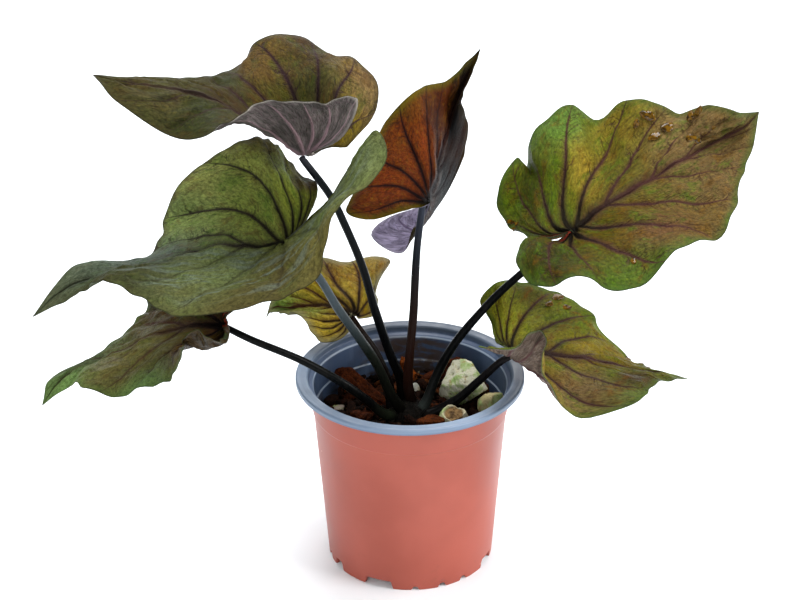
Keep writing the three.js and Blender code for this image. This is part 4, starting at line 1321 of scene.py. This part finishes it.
def pitted(points, rays, least, random, count):
    """points with pits sunk into them, and how near each one is to a pit."""
    pits = points[random.choice(len(points), count, replace=False)]
    wide = random.uniform(0.35, 1.0, count) * least / 16
    near = np.exp(-(np.linalg.norm(points[:, None] - pits[None], axis=2) / wide) ** 2)
    return points - rays * (near * wide * 0.9).sum(1, keepdims=True).clip(0, 1.2), near.max(1) ** 2


def pithy(points, facing):
    """points with a sunken face inside a raised rind, and where that face is."""
    off = np.linalg.norm(points - facing * (points @ facing)[:, None], axis=1)
    front = points @ facing > 0
    pith = front * (1 - smooth_step(4.0, 4.8, off))
    rind = front * np.exp(-((off - 5.3) / 0.7) ** 2)
    uneven = 0.25 * ripple(points, 1.3, PITH_SEED)
    return points + facing * (0.7 * rind - (0.7 + uneven) * pith)[:, None], pith


def make_stones():
    skin = pumice()
    pith_facing = unit(np.array(PITH_FACING))
    for i, (x, y, *size, turn, fineness, pits, swelling, colour) in enumerate(STONES):
        random = np.random.default_rng(STONE_SEED + i)
        rays, faces = ball(fineness)
        points = broken_stone(rays, np.array(size), random, i, pith_facing)
        points, pit = pitted(points, rays, min(size), random, pits)
        pith = np.zeros(len(points))
        if i == PITHY_STONE:
            points, pith = pithy(points, pith_facing)
        points = set_down(turned(points * swelling, 0, turn), x, y, MIX_TOP - 0.3)
        limit = np.interp(points[:, 2], WALL_HEIGHTS, WALL_RADII)
        points[:, :2] *= np.minimum(1, limit / np.hypot(points[:, 0], points[:, 1]))[:, None]
        piece = new_piece(f"pumice_piece_{i + 1}", (points, faces), [skin])
        set_tint(piece, colour)
        set_floats(piece, "pit", pit)
        set_floats(piece, "pith", pith)
        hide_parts(f"pumice_stone_{i + 1}")


def make_corm():
    """The corm, and the scaly crown that the stalks grow out of."""
    vertices, faces = lathe(CORM_PROFILE, 0.7, 90)
    ring = 0.3 * np.sin(vertices[:, 2] * 3.1) * smooth_step(3, 9, np.hypot(vertices[:, 0], vertices[:, 1]))
    vertices += unit(vertices * (1, 1, 0)) * (ring + 0.5 * ripple(vertices, 6, CORM_SEED))[:, None]
    vertices[:, 2] += 0.35 * ripple(vertices, 4, CORM_SEED + 1)
    piece = new_piece("corm_body", (vertices, faces), [fibrous("corm_skin", "#1c130e", "#6b5138", 700, 0.8)])
    set_tint(piece, "#35251b")
    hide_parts("corm")

    vertices, faces = lathe(CROWN_PROFILE, 0.5, 160)
    angle = np.arctan2(vertices[:, 1], vertices[:, 0])
    ribbed = 1 + 0.05 * np.sin(23 * angle) + 0.08 * ripple(vertices, 7, CORM_SEED + 10)
    vertices[:, :2] *= ribbed[:, None]
    vertices = vertices * (1.12, 0.9, 1) - (0.5, 0.6, 0)
    vertices[:, 2] += 0.5 * ripple(vertices, 5, CORM_SEED + 11)
    scales = fibrous("crown_skin", "#060504", "#2c231a", 700, 0.7)
    crown = new_piece("corm_crown", (vertices, faces), [scales])
    set_tint(crown, "#14110d")
    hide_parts("corm")


def crumb(number, random):
    """A small chip of bark, or now and then a pale stone, as a shape and its colour."""
    reach, angle = CRUMB_REACH * random.random() ** 0.5, random.uniform(0, 2 * math.pi)
    pale = number % 22 == 0
    length = random.uniform(1.2, 2.8) if pale else random.uniform(2.5, 11.0)
    width = length * (random.uniform(0.6, 0.9) if pale else random.uniform(0.25, 0.6))
    size = length, width, width * random.uniform(0.35, 0.8)
    chip, faces = splinter(size, CRUMB_GRID, random, MIX_SEED + 20 + number, 0.3)
    chip = turned(chip, random.uniform(-28, 28), random.uniform(0, 360))
    reach = min(reach, MIX_REACH - length / 2)
    rise = MIX_TOP - 1.2 + random.uniform(0, 1) ** 2 * 4.0
    chip = set_down(chip, reach * math.cos(angle), reach * math.sin(angle), rise)
    return (chip, faces), random.choice(PALE_COLOURS if pale else CRUMB_COLOURS)


def loose_fibre(random):
    """A thin fibre that lies on the mix, as a shape and its colour."""
    reach, angle = FIBRE_REACH * random.random() ** 0.5, random.uniform(0, 2 * math.pi)
    start = np.array((reach * math.cos(angle), reach * math.sin(angle), MIX_TOP + 1.6))
    steps = np.cumsum(random.normal(size=(5, 3)) * (2.2, 2.2, 0.7), axis=0)
    path = centripetal_spline(np.vstack([start, start + steps]), 16)
    path[:, 2] = path[:, 2].clip(MIX_TOP, MIX_TOP + 4)
    return tube(path, np.full(len(path), FIBRE_RADIUS), 6), "#6b4c30"


def make_mix():
    """The bed of mix, and small chips, crumbs and fibres scattered on it."""
    vertices, faces = lathe(MIX_PROFILE, 1.6, 150)
    top = smooth_step(70, 78, vertices[:, 2])
    uneven = 0.8 * ripple(vertices, 9, MIX_SEED) + 0.5 * ripple(vertices, 3.5, MIX_SEED + 1)
    vertices[:, 2] += top * (uneven - 0.6)
    material = fibrous("mix", "#120b08", "#5a3420", 1000, 0.95)
    bed = new_piece("mix_bed", (vertices, faces), [material])
    set_tint(bed, "#1d120d")
    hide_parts("growing_mix")

    random = np.random.default_rng(MIX_SEED + 10)
    bits = [crumb(number, random) for number in range(CRUMBS)]
    bits += [loose_fibre(random) for _ in range(FIBRES)]
    loose = new_piece("mix_loose", joined([shape for shape, _ in bits]), [material], smooth=False)
    set_tint(loose, np.vstack([np.tile(linear(colour)[:3], (len(shape[0]), 1)) for shape, colour in bits]))
    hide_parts("growing_mix")


# Stage: a plain pale floor, soft studio lights and the camera

FLOOR_SIDE = 16000
DAYLIGHT = 0.34
LIGHTS = [
    # place and target in metres, size in metres, watts
    ((1.5, -0.6, 1.5), (0.0, 0.0, 0.16), 0.9, 34.0),
    ((-1.5, -0.3, 1.1), (0.0, 0.0, 0.16), 1.3, 8.0),
    ((-0.2, 0.4, 2.2), (0.0, 0.1, 0.1), 1.1, 56.0),
    ((-0.4, -2.0, 0.9), (0.0, 0.0, 0.15), 1.4, 18.0),
    ((1.3, 0.25, 0.35), (0.0, 0.0, 0.07), 0.6, 10.0),
    ((0.2, 1.8, 1.2), (0.0, 0.1, 0.1), 1.4, 16.0),
]


def make_floor():
    s = Shader("floor_paper")
    texture = s.noise(s.place(), 60, 3, 0.5)
    broad = s.noise(s.place(), 3, 2, 0.5)
    colour = s.mix(s.spread(broad, 0.3, 0.7), "#f0f7fc", "#f4f9fc")
    paper = s.done(colour, s.spread(texture, 0.3, 0.7, 0.7, 0.85), 0.2, texture, 0.1, 0.1)
    half = FLOOR_SIDE / 2
    corners = [(-half, -half, 0), (half, -half, 0), (half, half, 0), (-half, half, 0)]
    floor = add_mesh("floor", (corners, [(0, 1, 2, 3)]), [paper])


def make_lights():
    world = bpy.data.worlds.new("studio")
    world.use_nodes = True
    shine = world.node_tree.nodes["Background"]
    shine.inputs["Color"].default_value = (1.0, 1.0, 1.0, 1.0)
    shine.inputs["Strength"].default_value = DAYLIGHT
    bpy.context.scene.world = world
    for number, (place, target, size, watts) in enumerate(LIGHTS):
        lamp = bpy.data.lights.new(f"softbox_{number}", "AREA")
        lamp.shape = "SQUARE"
        lamp.size = size
        lamp.energy = watts
        box = add(f"softbox_{number}", lamp)
        box.location = place
        box.rotation_euler = (Vector(target) - Vector(place)).to_track_quat("-Z", "Y").to_euler()
        box.visible_camera = False


def make_camera():
    data = bpy.data.cameras.new("camera")
    data.sensor_width = 36.0
    data.lens = CAMERA_LENS
    data.clip_end = 50.0
    camera = add("camera", data)
    tilt = Matrix.Rotation(math.radians(90 - CAMERA_PITCH), 4, "X")
    roll = Matrix.Rotation(math.radians(CAMERA_ROLL), 4, "Z")
    camera.matrix_world = Matrix.Translation(Vector(CAMERA_PLACE) * MM) @ tilt @ roll
    bpy.context.scene.camera = camera
    bpy.context.scene.view_settings.view_transform = "Standard"


grid = blade_grid()
skin = stalk_skin()
for place, leaf in LEAVES.items():
    make_stalk(place, leaf, make_blade(place, leaf, grid), skin)
make_pot()
make_mix()
make_corm()
make_bark()
make_stones()
make_floor()
make_lights()
make_camera()
